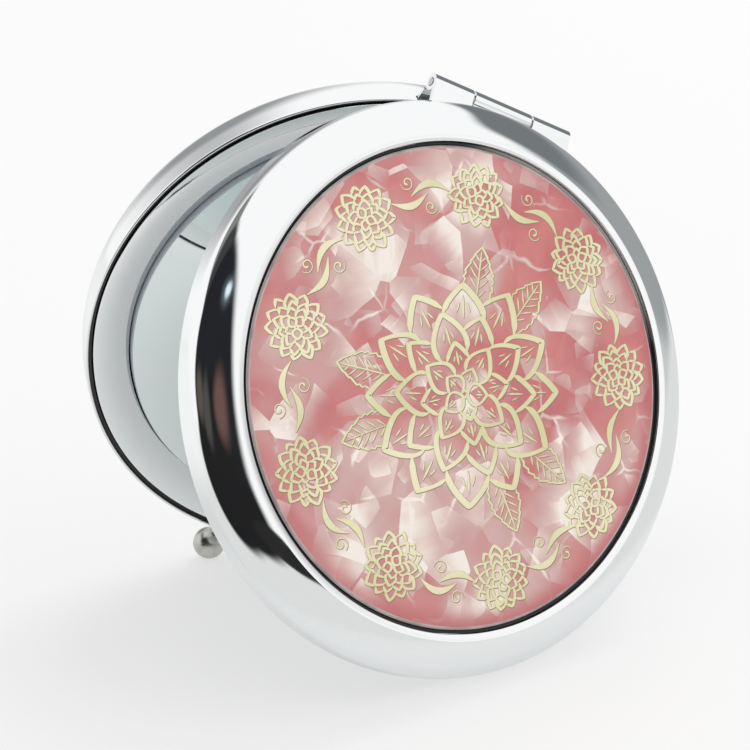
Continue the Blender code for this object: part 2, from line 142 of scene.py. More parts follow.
shell_low, shell_high = size_of("base_shell", BASE)
inlay_low, inlay_high = size_of("lid_inlay", LID)
button_low, button_high = size_of("latch_button", BASE)
SHELL_RADIUS = width_of("base_shell", BASE) / 2
SHELL_DEPTH = shell_high.z
MOUTH = shell_low.z
DISC_CENTRE = Vector((0.0, shell_high.y - SHELL_RADIUS, 0.0))
TO_DISC = Matrix.Translation(DISC_CENTRE)
INLAY_RADIUS = width_of("lid_inlay", LID) / 2
MIRROR_RADIUS = width_of("base_mirror", BASE) / 2
LINER_RADIUS = width_of("base_liner", BASE) / 2
HINGE_LENGTH = width_of("lid_hinge_leaf", LID)
print("shell radius and depth in mm", round(SHELL_RADIUS / MM, 2), round(SHELL_DEPTH / MM, 2))
print("open angle in degrees", round(math.degrees(open_angle), 1))

# %% [markdown]
# Round shapes are grown by Geometry Nodes, and every finish is a small network of shader nodes.
# Both are built the same way: add a node, set its values, link its inputs. This class does that in
# one call, which keeps the networks short to read.

# %% Building node networks


class Net:
    """A node network under construction.

    Keywords in lower case are a node's own settings and come first. The others are its inputs, by
    name with _ for each space, or by number as _0 and _1.
    """

    def __init__(self, tree, family="ShaderNode"):
        self.tree = tree
        self.family = family
        tree.nodes.clear()

    def add(self, kind, **values):
        in_any_tree = kind.startswith(("NodeGroup", "ShaderNode"))
        node = self.tree.nodes.new(kind if in_any_tree else self.family + kind)
        for key, value in values.items():
            if key[0].islower():
                setattr(node, key, value)
                continue
            socket = node.inputs[int(key[1:]) if key[1:].isdigit() else key.replace("_", " ")]
            if isinstance(value, bpy.types.Node):
                value = value.outputs[0]
            if isinstance(value, bpy.types.NodeSocket):
                self.tree.links.new(value, socket)
            else:
                socket.default_value = value
        return node

    def math(self, operation, a, b=0.0, c=0.0):
        return self.add("Math", operation=operation, _0=a, _1=b, _2=c).outputs[0]

    def vector(self, operation, a, b=(0.0, 0.0, 0.0)):
        node = self.add("VectorMath", operation=operation, _0=a, _1=b)
        return node.outputs["Value" if operation in ("LENGTH", "DOT_PRODUCT") else "Vector"]

    def step(self, value, low, high, to_low=0.0, to_high=1.0):
        """A smooth step from low to high."""
        return self.add("MapRange", interpolation_type="SMOOTHSTEP", Value=value, From_Min=low,
                        From_Max=high, To_Min=to_low, To_Max=to_high).outputs["Result"]

    def mix(self, factor, a, b):
        """From colour a to colour b. A colour is a socket or three numbers."""
        a, b = [(*colour, 1.0) if isinstance(colour, tuple) else colour for colour in (a, b)]
        return self.add("Mix", data_type="RGBA", _0=factor, _6=a, _7=b).outputs[2]


# %% [markdown]
# The shells, rings and discs were spun or pressed to a round form, so each is one profile swept
# round a circle. Geometry Nodes do this well: the profile is a small curve of (radius, height)
# points, a circle carries it, and the number of facets is an input. Every turned piece below uses
# the same tree, and a Boolean cuts its slots afterwards.

# %% The turning tree
FACETS = 256
MERGE = 0.0005 * MM


def socket_id(tree, name):
    for item in tree.interface.items_tree:
        if item.item_type == "SOCKET" and item.in_out == "INPUT" and item.name == name:
            return item.identifier
    raise KeyError(name)


def new_tree(name, numbers):
    """A geometry tree that is given a curve, some numbers and a material."""
    tree = bpy.data.node_groups.new(name, "GeometryNodeTree")
    net = Net(tree, "GeometryNode")
    for label, kind in {"Geometry": "Geometry", **numbers, "Material": "Material"}.items():
        tree.interface.new_socket(label, in_out="INPUT", socket_type="NodeSocket" + kind)
    tree.interface.new_socket("Geometry", in_out="OUTPUT", socket_type="NodeSocketGeometry")
    return net, net.add("NodeGroupInput").outputs


def finish_tree(net, given, geometry):
    """Every tree ends by making its result real and giving it its material."""
    real = net.add("RealizeInstances", Geometry=geometry)
    painted = net.add("SetMaterial", Geometry=real, Material=given["Material"])
    net.add("NodeGroupOutput", Geometry=painted)
    return net.tree


def make_turning_tree():
    net, given = new_tree("turning", {"Facets": "Int", "Radius": "Float"})
    circle = net.add("CurvePrimitiveCircle", mode="RADIUS", Resolution=given["Facets"],
                     Radius=given["Radius"])
    upright = net.add("SetCurveNormal", mode="Z_UP", Curve=circle)
    sweep = net.add("CurveToMesh", Curve=upright, Profile_Curve=given["Geometry"])
    merged = net.add("MergeByDistance", Geometry=sweep, Distance=MERGE)
    return finish_tree(net, given, merged)


TURNING = make_turning_tree()


def poly_curve(name, lines):
    """A curve of straight steps. A line is its (x, y, z, radius) points and whether it closes."""
    data = bpy.data.curves.new(name, "CURVE")
    data.dimensions = "3D"
    for points, closed in lines:
        spline = data.splines.new("POLY")
        spline.points.add(len(points) - 1)
        for point, (x, y, z, radius) in zip(spline.points, points):
            point.co = (x, y, z, 1.0)
            point.radius = radius
        spline.use_cyclic_u = closed
    return add_object(name, data)


def plain_mesh(source, name):
    """The evaluated result as a plain mesh in a new object. The source and its modifiers go."""
    graph = bpy.context.evaluated_depsgraph_get()
    mesh = bpy.data.meshes.new_from_object(source.evaluated_get(graph), depsgraph=graph)
    mesh.name = name
    bpy.data.objects.remove(source)
    return add_object(name, mesh)


def mesh_of(name, shape):
    """The mesh of a bmesh, which is used up."""
    mesh = bpy.data.meshes.new(name)
    shape.to_mesh(mesh)
    shape.free()
    return mesh


def face_outwards(mesh):
    """Gives all faces one turning and flips them if the volume comes out negative."""
    shape = bmesh.new()
    shape.from_mesh(mesh)
    bmesh.ops.recalc_face_normals(shape, faces=shape.faces)
    if shape.calc_volume(signed=True) < 0:
        bmesh.ops.reverse_faces(shape, faces=shape.faces)
    shape.to_mesh(mesh)
    shape.free()


def grown(curve, tree, name, **given):
    """What a tree makes of a curve, as a plain mesh that faces outwards."""
    change = curve.modifiers.new(tree.name, "NODES")
    change.node_group = tree
    for label, value in given.items():
        change[socket_id(tree, label)] = value
    piece = plain_mesh(curve, name)
    face_outwards(piece.data)
    return piece


def turn(name, outline, materials, which=None, ring=False, facets=FACETS, place=TO_DISC):
    """Sweeps an outline of (radius, height) round the disc's axis. A ring's outline is closed.

    Where there is more than one material, which(facet) gives the number of the face's own.
    """
    carrier = max(radius for radius, height in outline)
    points = [(radius - carrier, -height, 0.0, 1.0) for radius, height in outline]
    curve = poly_curve(name + "_profile", [(points, ring)])
    mesh_object = grown(curve, TURNING, name, Facets=facets, Radius=carrier, Material=materials[0])
    mesh = mesh_object.data
    for material in materials[1:]:
        mesh.materials.append(material)
    if which:
        for facet in mesh.polygons:
            facet.material_index = int(which(facet))
    mesh.transform(place)
    return mesh_object


print("the turning tree has", len(TURNING.nodes), "nodes")

# %% [markdown]
# Profiles are drawn like a turner's template: arcs, straight sides, and corners that are broken by
# a small curve. These three helpers return lists of points that the profiles below string together.

# %% Drawing outlines


def arc(centre, run, rise, start, end, steps):
    """Points of an ellipse's arc, from one angle in degrees to another."""
    points = []
    for step in range(steps + 1):
        angle = math.radians(start + (end - start) * step / steps)
        points.append((centre[0] + run * math.cos(angle), centre[1] + rise * math.sin(angle)))
    return points


def rounded(points, radius, steps=3):
    """Rounds every corner of an outline by cutting it back and laying a small curve across."""
    result = [points[0]]
    for before, corner, after in zip(points, points[1:], points[2:]):
        corner_at = Vector(corner)
        to_before = Vector(before) - corner_at
        to_after = Vector(after) - corner_at
        cut = min(radius, to_before.length / 2.5, to_after.length / 2.5)
        enter = corner_at + to_before.normalized() * cut
        leave = corner_at + to_after.normalized() * cut
        for step in range(steps + 1):
            share = step / steps
            rest = 1 - share
            point = enter * rest**2 + corner_at * 2 * share * rest + leave * share**2
            result.append(tuple(point))
    result.append(points[-1])
    return result


def even_steps(start, end, count):
    """Points between two points, so that a long straight side has more than one row of faces."""
    return [tuple(Vector(start).lerp(Vector(end), step / count)) for step in range(1, count)]


# %% [markdown]
# Slots and holes are cut out of the turned pieces by Boolean modifiers, which are applied at once.
# Then each piece is shaded, moved from its half's frame to its place in the world, and tied to the
# body that it rides on, and the imported piece that it stands for is hidden.

# %% Cutting and settling
SHARP = math.radians(28)
HALVES = {"lid": LID, "base": BASE, "latch": BASE}


def slot_block(name, low, high):
    """A box in the half's own frame, used only as a cutter."""
    shape = bmesh.new()
    bmesh.ops.create_cube(shape, size=1.0)
    for vertex in shape.verts:
        share = vertex.co + Vector((0.5, 0.5, 0.5))
        vertex.co = [low[axis] + share[axis] * (high[axis] - low[axis]) for axis in range(3)]
    return add_object(name, mesh_of(name, shape))


def cut(piece, *cutters):
    """Takes the cutters away from the piece for good."""
    name = piece.name
    for cutter in cutters:
        change = piece.modifiers.new(cutter.name, "BOOLEAN")
        change.operation = "DIFFERENCE"
        change.solver = "EXACT"
        change.object = cutter
    piece.name = name + "_uncut"
    result = plain_mesh(piece, name)
    for cutter in cutters:
        bpy.data.objects.remove(cutter)
    return result


def shade(piece, sharp=SHARP):
    piece.data.shade_smooth()
    piece.data.set_sharp_from_angle(angle=sharp)


def settle(piece, body, slot, *nodes, sharp=SHARP):
    """Shades a piece, puts it into the world, ties it to its body and hides its CAD nodes. The slot
    is not used.
    """
    if sharp:
        shade(piece, sharp)
    piece.data.transform(HALVES[body])
    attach(piece, body)
    if nodes:
        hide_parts(*nodes)
    print(piece.name, len(piece.data.polygons), "faces")


# %% [markdown]
# A finish is a colour, a roughness and a fine relief that differ a little from place to place. Each
# one starts from the place on its half of the compact, so that a pattern lies still on a piece that
# was built tilted in the world, and ends in one Principled shader.

# %% Building finishes
FLAT = (1.0, 1.0, 0.0)


class Finish(Net):
    """The network of one material. Its place is in metres from the middle of a half's disc."""

    def __init__(self, name, half):
        self.material = bpy.data.materials.new(name)
        self.material.use_nodes = True
        super().__init__(self.material.node_tree)
        world_place = self.add("TexCoord").outputs["Object"]
        self.place = self.add("Mapping", vector_type="TEXTURE", Vector=world_place,
                              Location=half @ DISC_CENTRE, Rotation=half.to_euler())

    def noise(self, scale, detail=2.0, **more):
        """Noise over the piece. A value for W gives a noise of its own."""
        dimensions = "4D" if "W" in more else "3D"
        return self.add("TexNoise", noise_dimensions=dimensions, Vector=self.place, Scale=scale,
                        Detail=detail, **more)

    def relief(self, height, strength, depth):
        return self.add("Bump", Strength=strength, Distance=depth, Height=height)

    def flat_radius(self):
        """How far a place is from the disc's axis."""
        return self.vector("LENGTH", self.vector("MULTIPLY", self.place, FLAT))

    def surface(self, **inputs):
        self.add("OutputMaterial", Surface=self.add("BsdfPrincipled", **inputs))
        return self.material


def grained(name, half, scale, dark, light, detail=3.0, contrast=None, relief=None, **inputs):
    """A finish of one grain: it varies the tone between two colours, and may be in relief too."""
    net = Finish(name, half)
    grain = net.noise(scale, detail)
    if relief:
        inputs["Normal"] = net.relief(grain, *relief)
    tone = net.mix(net.step(grain, *contrast) if contrast else grain, dark, light)
    return net.surface(Base_Color=tone, **inputs)


# %% [markdown]
# Chrome plate is a bright mirror skin over pressed steel. It was buffed on a wheel while it turned,
# so it carries very faint rings round its middle, and the pressed sheet below leaves a slow
# waviness of a few hundredths of a degree. Both are weak bump here, and the roughness wanders
# slightly where fingers have touched the plate.

# %% Chrome
CHROME_COLOUR = (0.93, 0.94, 0.945, 1.0)
CHROME_ROUGHNESS = (0.035, 0.065)
BUFFING_SHARE = 0.02
BUFFING_SCALE = 9000.0


def chrome(name, half):
    net = Finish(name, half)
    buffing = net.add("TexNoise", noise_dimensions="1D", W=net.flat_radius(), Scale=BUFFING_SCALE,
                      Detail=2.0)
    height = net.math("MULTIPLY_ADD", buffing, BUFFING_SHARE, net.noise(120.0, 1.0))
    touch = net.noise(260.0, 4.0, Roughness=0.6)
    return net.surface(Base_Color=CHROME_COLOUR, Metallic=1.0,
                       Roughness=net.step(touch, 0.35, 0.75, *CHROME_ROUGHNESS),
                       Normal=net.relief(height, 0.010, 1.0 * MM))


lid_chrome = chrome("lid_chrome", LID)
base_chrome = chrome("base_chrome", BASE)
print("chrome network of", len(lid_chrome.node_tree.nodes), "nodes")

# %% [markdown]
# The lid's shell is the piece that shows most. From the parting line it has a straight flank, then
# a long domed bezel, then a narrow lip that falls to the recess for the inlay. Its profile is
# written with the same driving sizes as the imported shell, only with finer arcs. At the mouth the
# sheet's rolled tip stands off the liner, which leaves a thin gap all round. The shell's inside is
# painted near black there, as painted shade, so the gap shows dark.

# %% Shells
RIM_WALL = 0.8 * MM
FACE_WALL = 0.8 * MM
RIM_EDGE = 0.17 * MM
RIM_SHEET = 2 * RIM_EDGE
RIM_GAP_DEPTH = 0.6 * MM
INNER_ROUND = 0.4 * MM
FLANK_HEIGHT = 2.2 * MM
BEZEL_WIDTH = 5.45 * MM
BEZEL_ANGLE = 67.75
LIP_WIDTH = 0.9 * MM
LIP_ROUND = 0.15 * MM
LIP_SLOPE = 14.0
RECESS_DEPTH = 1.4 * MM
SHOULDER_RUN = 1.4 * MM
CREST_ROUND = 0.05 * MM
SLOT_GAP = 0.15 * MM
LEAF_REACH = 4.7 * MM
LEAF_TOP = 1.05 * MM
OVERRUN = 2.0 * MM
STEM_RADIUS = 0.7 * MM
STEM_HOLE_GAP = 0.25 * MM
LATCH_HEIGHT = (button_low.z + button_high.z) / 2
# Painted shade: the near-black colours of the shell's inside, which darken the gap at the mouth.
INSIDE_SHADE_DARK = (0.035, 0.035, 0.035)
INSIDE_SHADE_LIGHT = (0.075, 0.073, 0.070)
FLANK_TOP = MOUTH + FLANK_HEIGHT
WALL_INSIDE = SHELL_RADIUS - RIM_WALL
RECESS_RADIUS = SHELL_RADIUS - BEZEL_WIDTH


def shell_mouth(ceiling):
    """The inside of a shell and its rounded rim, up to the top of the straight flank."""
    corner = (WALL_INSIDE - INNER_ROUND, ceiling - INNER_ROUND)
    inside = arc(corner, INNER_ROUND, INNER_ROUND, 90, 0, 4)
    gap_top = MOUTH + RIM_GAP_DEPTH
    gap = [(WALL_INSIDE, gap_top), (SHELL_RADIUS - RIM_SHEET, gap_top)]
    tip = arc((SHELL_RADIUS - RIM_EDGE, MOUTH + RIM_EDGE), RIM_EDGE, RIM_EDGE, -180, 0, 10)
    flank = even_steps(tip[-1], (SHELL_RADIUS, FLANK_TOP), 8)
    return [(0.0, ceiling), *inside, *gap, *tip, *flank]


def lid_outline():
    lip_outer = RECESS_RADIUS + LIP_WIDTH
    angle = math.radians(BEZEL_ANGLE)
    run = (SHELL_RADIUS - lip_outer) / (1 - math.cos(angle))
    rise = (SHELL_DEPTH - FLANK_TOP) / math.sin(angle)
    dome = arc((SHELL_RADIUS - run, FLANK_TOP), run, rise, 0, BEZEL_ANGLE, 40)
    floor = SHELL_DEPTH - RECESS_DEPTH
    sweep = (LIP_WIDTH - LIP_ROUND) / math.sin(math.radians(LIP_SLOPE))
    slope = arc((lip_outer, SHELL_DEPTH - sweep), sweep, sweep, 90, 90 + LIP_SLOPE, 10)
    edge_at = slope[-1][1] - LIP_ROUND
    edge = arc((RECESS_RADIUS + LIP_ROUND, edge_at), LIP_ROUND, LIP_ROUND, 90, 180, 6)
    crest = rounded([dome[-2], dome[-1], slope[1]], CREST_ROUND)
    lip = [*slope[2:], *edge[1:]]
    wall = [(RECESS_RADIUS, floor), (0.0, floor)]
    return shell_mouth(floor - FACE_WALL) + dome[:-2] + crest + lip + wall


def base_outline():
    centre = (SHELL_RADIUS - SHOULDER_RUN, FLANK_TOP)
    shoulder = arc(centre, SHOULDER_RUN, SHELL_DEPTH - FLANK_TOP, 0, 90, 48)
    return shell_mouth(SHELL_DEPTH - FACE_WALL) + shoulder + [(0.0, SHELL_DEPTH)]


def leaf_slot(name, top):
    """Room for the hinge leaf in a rim or a liner."""
    side = HINGE_LENGTH / 2 + SLOT_GAP
    return slot_block(name, (-side, -OVERRUN, -OVERRUN), (side, LEAF_REACH + SLOT_GAP, top))


def is_inside(facet, ceiling):
    """Whether a face looks into the shell. The rounded tip of the rim doesn't count."""
    looks_in = facet.normal.xy.dot(facet.center.xy) < 0 or facet.normal.z < -0.5
    return looks_in and MOUTH + RIM_EDGE < facet.center.z < ceiling + MERGE


def make_shell(body, outline, half, plating, *more_cutters):
    name = body + "_shell_plate"
    # Behind liner and mirror the sheet is painted near black as painted shade, so the gap at the
    # mouth shows dark.
    inside_shade = grained(name + "_inside", half, 400.0, INSIDE_SHADE_DARK, INSIDE_SHADE_LIGHT, Roughness=0.6)
    ceiling = outline[0][1]
    shell = turn(name, outline, [plating, inside_shade], lambda facet: is_inside(facet, ceiling))
    shell = cut(shell, leaf_slot(name + "_notch", LEAF_TOP + SLOT_GAP), *more_cutters)
    settle(shell, body, "polished_chrome", body + "_shell")


def stem_hole():
    """The round cutter for the hole in the base's rim that the button's stem slides in."""
    shape = bmesh.new()
    radius = STEM_RADIUS + STEM_HOLE_GAP
    bmesh.ops.create_cone(shape, cap_ends=True, segments=48, radius1=radius, radius2=radius,
                          depth=2 * OVERRUN)
    place = Matrix.Translation(DISC_CENTRE + Vector((0.0, SHELL_RADIUS, LATCH_HEIGHT)))
    lying = place @ Matrix.Rotation(math.pi / 2, 4, "X")
    bmesh.ops.transform(shape, matrix=lying, verts=shape.verts)
    return add_object("stem_hole", mesh_of("stem_hole", shape))


make_shell("lid", lid_outline(), LID, lid_chrome)
make_shell("base", base_outline(), BASE, base_chrome, stem_hole())

# %% [markdown]
# Inside each mouth a pressed ring hides the rim's wall and slopes down to the mirror. It is a thin
# closed section, so its profile joins up with itself, and the corners are softly rounded as on any
# pressed sheet. The slots for the hinge leaf and the latch are cut afterwards.

# %% Liner rings
LINER_SHEET = 0.5 * MM
LINER_RIM_DROP = 0.25 * MM
LINER_MIRROR_DROP = 1.25 * MM
LINER_ROUNDING = 1.7
LINER_STEPS = 16
LINER_CORNER = 0.12 * MM
MIRROR_SIDE_GAP = 0.25 * MM
LINER_INNER = MIRROR_RADIUS + MIRROR_SIDE_GAP


def liner_outline(foot):
    high = MOUTH + LINER_RIM_DROP
    low = MOUTH + LINER_MIRROR_DROP
    flange = LINER_INNER + LINER_SHEET
    face = []
    for step in range(LINER_STEPS + 1):
        share = step / LINER_STEPS
        drop = (low - high) * (1 - share) ** LINER_ROUNDING
        face.append((LINER_INNER + (LINER_RADIUS - LINER_INNER) * share, high + drop))
    back = [(LINER_RADIUS, high + LINER_SHEET), (flange, low + LINER_SHEET), (flange, foot),
            (LINER_INNER, foot)]
    return rounded([*face, *back, face[0]], LINER_CORNER)[:-1]


LATCH_TRAVEL = joints["latch_press"]["range_m"][1]
LATCH_SLOT_FROM = size_of("latch_hook", BASE)[0].y - LATCH_TRAVEL - SLOT_GAP
LATCH_SLOT_TO = DISC_CENTRE.y + SHELL_RADIUS


def make_liner(body, half, plating, latch_width):
    name = body + "_liner_ring"
    foot = size_of(body + "_liner", half)[1].z
    liner = turn(name, liner_outline(foot), [plating], ring=True)
    side = latch_width / 2
    latch_slot = slot_block(name + "_latch_slot", (-side, LATCH_SLOT_FROM, -OVERRUN),
                            (side, LATCH_SLOT_TO, SHELL_DEPTH))
    liner = cut(liner, leaf_slot(name + "_leaf_slot", SHELL_DEPTH), latch_slot)
    settle(liner, body, "polished_chrome", body + "_liner")


make_liner("lid", LID, lid_chrome, width_of("lid_strike", LID) + 2 * SLOT_GAP)
make_liner("base", BASE, base_chrome, width_of("latch_keeper", BASE))

# %% [markdown]
# A compact's mirror is plain float glass with silver behind it. What shows is the silver, tinted a
# little green by twice the glass's thickness, and a ground edge that looks frosted. The glass
# stands up out of the liner, so its side shows as a bluish strip where the camera sees it. The disc
# gets two materials: faces on the bevel and the side take the frosted one.

# %% Mirrors
MIRROR_BEVEL = 0.15 * MM
MIRROR_CORNER = 0.04 * MM
GLASS_RISE = 1.05 * MM
SILVER_COLOUR = (0.80, 0.875, 0.865, 1.0)
GROUND_COLOUR = (0.50, 0.56, 0.60)
GROUND_LIGHT = (0.70, 0.77, 0.81)


def silvered_glass(name, half):
    net = Finish(name, half)
    return net.surface(Base_Color=SILVER_COLOUR, Metallic=1.0, Coat_Weight=0.6, Coat_Roughness=0.01,
                       Roughness=net.step(net.noise(90.0, 3.0), 0.3, 0.8, 0.004, 0.03),
                       Normal=net.relief(net.noise(45.0), 0.006, 1.0 * MM))


def make_mirror(body, half):
    name = body + "_mirror_disc"
    low, high = size_of(body + "_mirror", half)
    face, back = low.z - GLASS_RISE, high.z
    bevel_start = MIRROR_RADIUS - MIRROR_BEVEL
    rows = [(bevel_start * share / 8, face) for share in range(5)]
    edge = rounded([rows[-1], (bevel_start, face), (MIRROR_RADIUS, face + MIRROR_BEVEL),
                    (MIRROR_RADIUS, back), (bevel_start, back)], MIRROR_CORNER)
    ground = grained(name + "_edge", half, 6000.0, GROUND_COLOUR, GROUND_LIGHT,
                     relief=(0.35, 0.02 * MM), Roughness=0.45, Transmission_Weight=0.15)
    finishes = [silvered_glass(name + "_silver", half), ground]
    mirror = turn(name, [*rows, *edge, (0.0, back)], finishes,
                  lambda facet: facet.center.xy.length > bevel_start)
    settle(mirror, body, "silvered_glass", body + "_mirror")


make_mirror("lid", LID)
make_mirror("base", BASE)

# %% [markdown]
# The inlay is a disc of pearl resin. Such sheet is made by stirring flakes of pearl pigment into
# coloured resin, which folds them into torn, clear shards a few millimetres wide. Each shard is
# bright along one border and fades out over its width. That brightness is partly the flakes' own
# pale colour and partly painted sheen. A Voronoi texture gives the shards. Its cell colour decides
# how strong a shard is and which way it fades, and noise bends the borders first, so that no shard
# looks drawn with a ruler. Three sheets of different size lie over one another, with thin bright
# creases between them, whose brightness is partly painted sheen as well.

# %% Pearl resin
INLAY_BEVEL = 0.25 * MM
INLAY_RISE = 0.25 * MM
INLAY_FACE = inlay_high.z - INLAY_RISE
DOME_RUN = INLAY_RADIUS - INLAY_BEVEL
CLEAR_WIDTH = 0.45 * MM
CLEAR_FROM = INLAY_RADIUS - CLEAR_WIDTH
RIM_PINK_WIDTH = 2.6 * MM
RIM_PINK_HEADING = (-0.8, 0.6, 0.0)
PEARL_DEEP = (0.54, 0.120, 0.130)
PEARL_ROSE = (0.67, 0.205, 0.185)
PEARL_MAUVE = (0.66, 0.405, 0.385)
PEARL_LIGHT = (0.85, 0.67, 0.60)
PEARL_CREAM = (0.98, 0.90, 0.82)
CLEAR_DARK = (0.36, 0.30, 0.29)
CLEAR_LIGHT = (0.52, 0.44, 0.43)


def bent_flat(net, scale, detail, seed, reach):
    """The place in the disc's plane, bent by noise."""
    drift = net.noise(scale, detail, W=seed).outputs["Color"]
    bent = net.add("VectorMath", operation="MULTIPLY_ADD", _0=drift, _1=(reach,) * 3, _2=net.place)
    return net.vector("MULTIPLY", bent, FLAT)


def pearl_shards(net, size, seed, bend, share):
    """One sheet of shards: how bright each place is, and how far it lies along its shard."""
    flat = bent_flat(net, 0.5 / size, 2.0, seed, bend * size)
    cells = net.add("TexVoronoi", voronoi_dimensions="4D", feature="F1", Vector=flat,
                    W=seed, Scale=1.0 / size, Randomness=1.0)
    parts = net.add("SeparateColor", Color=cells.outputs["Color"])
    heading = net.math("MULTIPLY", parts.outputs["Red"], math.tau)
    cosine, sine = net.math("COSINE", heading), net.math("SINE", heading)
    along = net.add("CombineXYZ", X=cosine, Y=sine)
    across = net.add("CombineXYZ", X=sine, Y=net.math("MULTIPLY", cosine, -1.0))
    local = net.vector("SUBTRACT", flat, cells.outputs["Position"])
    slope = net.math("DIVIDE", net.vector("DOT_PRODUCT", local, along), size)
    side = net.math("DIVIDE", net.vector("DOT_PRODUCT", local, across), size)
    silk_at = net.add("CombineXYZ", X=slope, Y=net.math("MULTIPLY", side, 5.0), Z=heading)
    silk = net.add("TexNoise", Vector=silk_at, Scale=1.0, Detail=2.0, Roughness=0.5)
    fade = net.math("POWER", net.step(slope, -0.5, 0.6), 1.4)
    strength = net.step(parts.outputs["Green"], 1.0 - share - 0.1, 1.0 - share + 0.3)
    lit = net.math("MULTIPLY", fade, strength)
    return net.math("MULTIPLY", lit, net.step(silk, 0.25, 0.75, 0.75, 1.1)), slope


def pearl_creases(net, size, seed):
    """Thin bright folds along the borders of large shards, broken off here and there."""
    flat = bent_flat(net, 0.8 / size, 3.0, seed, 1.1 * size)
    cells = net.add("TexVoronoi", voronoi_dimensions="2D", feature="DISTANCE_TO_EDGE",
                    Vector=flat, Scale=1.0 / size)
    line = net.step(cells.outputs["Distance"], 0.005, 0.045, 1.0, 0.0)
    return net.math("MULTIPLY", line, net.step(net.noise(1.3 / size, 1.0, W=seed + 1), 0.5, 0.66))


def make_pearl():
    net = Finish("pink_pearl", LID)
    along_y = net.add("SeparateXYZ", Vector=net.place).outputs["Y"]
    broad = pearl_shards(net, 8.5 * MM, 3.0, 0.45, 0.50)[0]
    large, slope = pearl_shards(net, 5.2 * MM, 11.0, 0.55, 0.48)
    small, small_slope = pearl_shards(net, 2.9 * MM, 23.0, 0.8, 0.24)
    creases = pearl_creases(net, 7.0 * MM, 31.0)
    clouds = net.noise(90.0)
    depths = net.noise(130.0, 3.0, W=7.0)
    sheets = net.math("ADD", net.math("MULTIPLY", broad, 0.6), net.math("MULTIPLY", large, 0.75))
    sheets = net.math("ADD", sheets, net.math("MULTIPLY", small, 0.4))
    sheets = net.math("MULTIPLY", sheets, net.step(clouds, 0.3, 0.62, 0.6, 1.15))
    # Paler towards the latch side.
    paler_towards_latch = net.step(along_y, -12 * MM, 26 * MM, 0.0, 0.16)
    mist = net.math("MULTIPLY", net.step(clouds, 0.40, 0.66), 0.22)
    haze = net.math("ADD", paler_towards_latch, mist)
    level = net.math("ADD", sheets, net.math("MULTIPLY_ADD", creases, 0.5, haze))
    colour = net.mix(net.step(depths, 0.3, 0.7), PEARL_DEEP, PEARL_ROSE)
    # The mauve, pale and cream colours are partly the flakes' own colour, partly painted sheen.
    for low, high, brighter in ((0.03, 0.42, PEARL_MAUVE), (0.34, 0.78, PEARL_LIGHT),
                                (0.62, 1.05, PEARL_CREAM)):
        colour = net.mix(net.step(level, low, high), colour, brighter)
    rim = net.step(net.flat_radius(), CLEAR_FROM - RIM_PINK_WIDTH, CLEAR_FROM)
    leaning = net.vector("DOT_PRODUCT", net.place, RIM_PINK_HEADING)
    rim = net.math("MULTIPLY", rim, net.step(leaning, -20 * MM, 20 * MM, 0.3, 0.85))
    tilt = net.math("ADD", slope, net.math("MULTIPLY", small_slope, 0.5))
    return net.surface(Base_Color=net.mix(rim, colour, PEARL_DEEP),
                       Roughness=net.step(level, 0.0, 0.9, 0.45, 0.3),
                       Normal=net.relief(tilt, 0.15, 0.5 * MM),
                       Coat_Weight=1.0, Coat_Roughness=0.03, Coat_IOR=1.5)


# The clear resin at the very edge, where nothing pink lies under the dome's steep side.
clear_edge = grained("clear_resin_edge", LID, 300.0, CLEAR_DARK, CLEAR_LIGHT, detail=2.0,
                     contrast=(0.35, 0.65), Roughness=0.12, Coat_Weight=1.0, Coat_Roughness=0.03)
pearl = make_pearl()
print("pearl network of", len(pearl.node_tree.nodes), "nodes")

# %% [markdown]
# The resin was poured so that it stands up in a very shallow dome, steepest near its edge. An
# ellipse has that shape. The same formula is kept as a function, because the print has to lie on
# the dome.

# %% Inlay
FILM_LAP = 0.05 * MM
INLAY_CORNER = 0.05 * MM
INLAY_SHARP = math.radians(60)
FILM_BLACK = (0.010, 0.010, 0.011)
FILM_GREY = (0.022, 0.022, 0.023)
FILM_GRAIN = 0.5 * MM


def dome_height(radius):
    return INLAY_FACE + INLAY_RISE * math.sqrt(max(0.0, 1 - (radius / DOME_RUN) ** 2))


def inlay_layer(facet):
    """A face is pearl, clear edge or black side, by how far out it lies."""
    radius = facet.center.xy.length
    # The black side is painted shade, like the ring in the groove.
    return 2 if radius > INLAY_RADIUS - FILM_LAP else 1 if radius > CLEAR_FROM else 0


black_film = grained("black_film", LID, 1.0 / FILM_GRAIN, FILM_BLACK, FILM_GREY,
                     relief=(0.3, FILM_GRAIN / 10), Roughness=0.55)
side = rounded([(DOME_RUN, inlay_low.z), (INLAY_RADIUS, inlay_low.z),
                (INLAY_RADIUS, INLAY_FACE - INLAY_BEVEL), (DOME_RUN, INLAY_FACE)], INLAY_CORNER)
dome = arc((0.0, INLAY_FACE), DOME_RUN, INLAY_RISE, 0, 90, 44)
inlay = turn("lid_inlay_disc", [(0.0, inlay_low.z), *side[:-1], *dome],
             [pearl, clear_edge, black_film], inlay_layer)
settle(inlay, "lid", "pearl_resin", "lid_inlay", sharp=INLAY_SHARP)

# %% [markdown]
# A black adhesive film holds the resin. The dark ring round the inlay is painted shade: a black
# ring stands in the groove, and the resin's side is painted black with it, where the groove lies in
# shadow. It is wide where the camera sees the resin's side, thin where it sees the shell's wall. On
# the side towards the hinge a stretch of the ring is painted lighter.

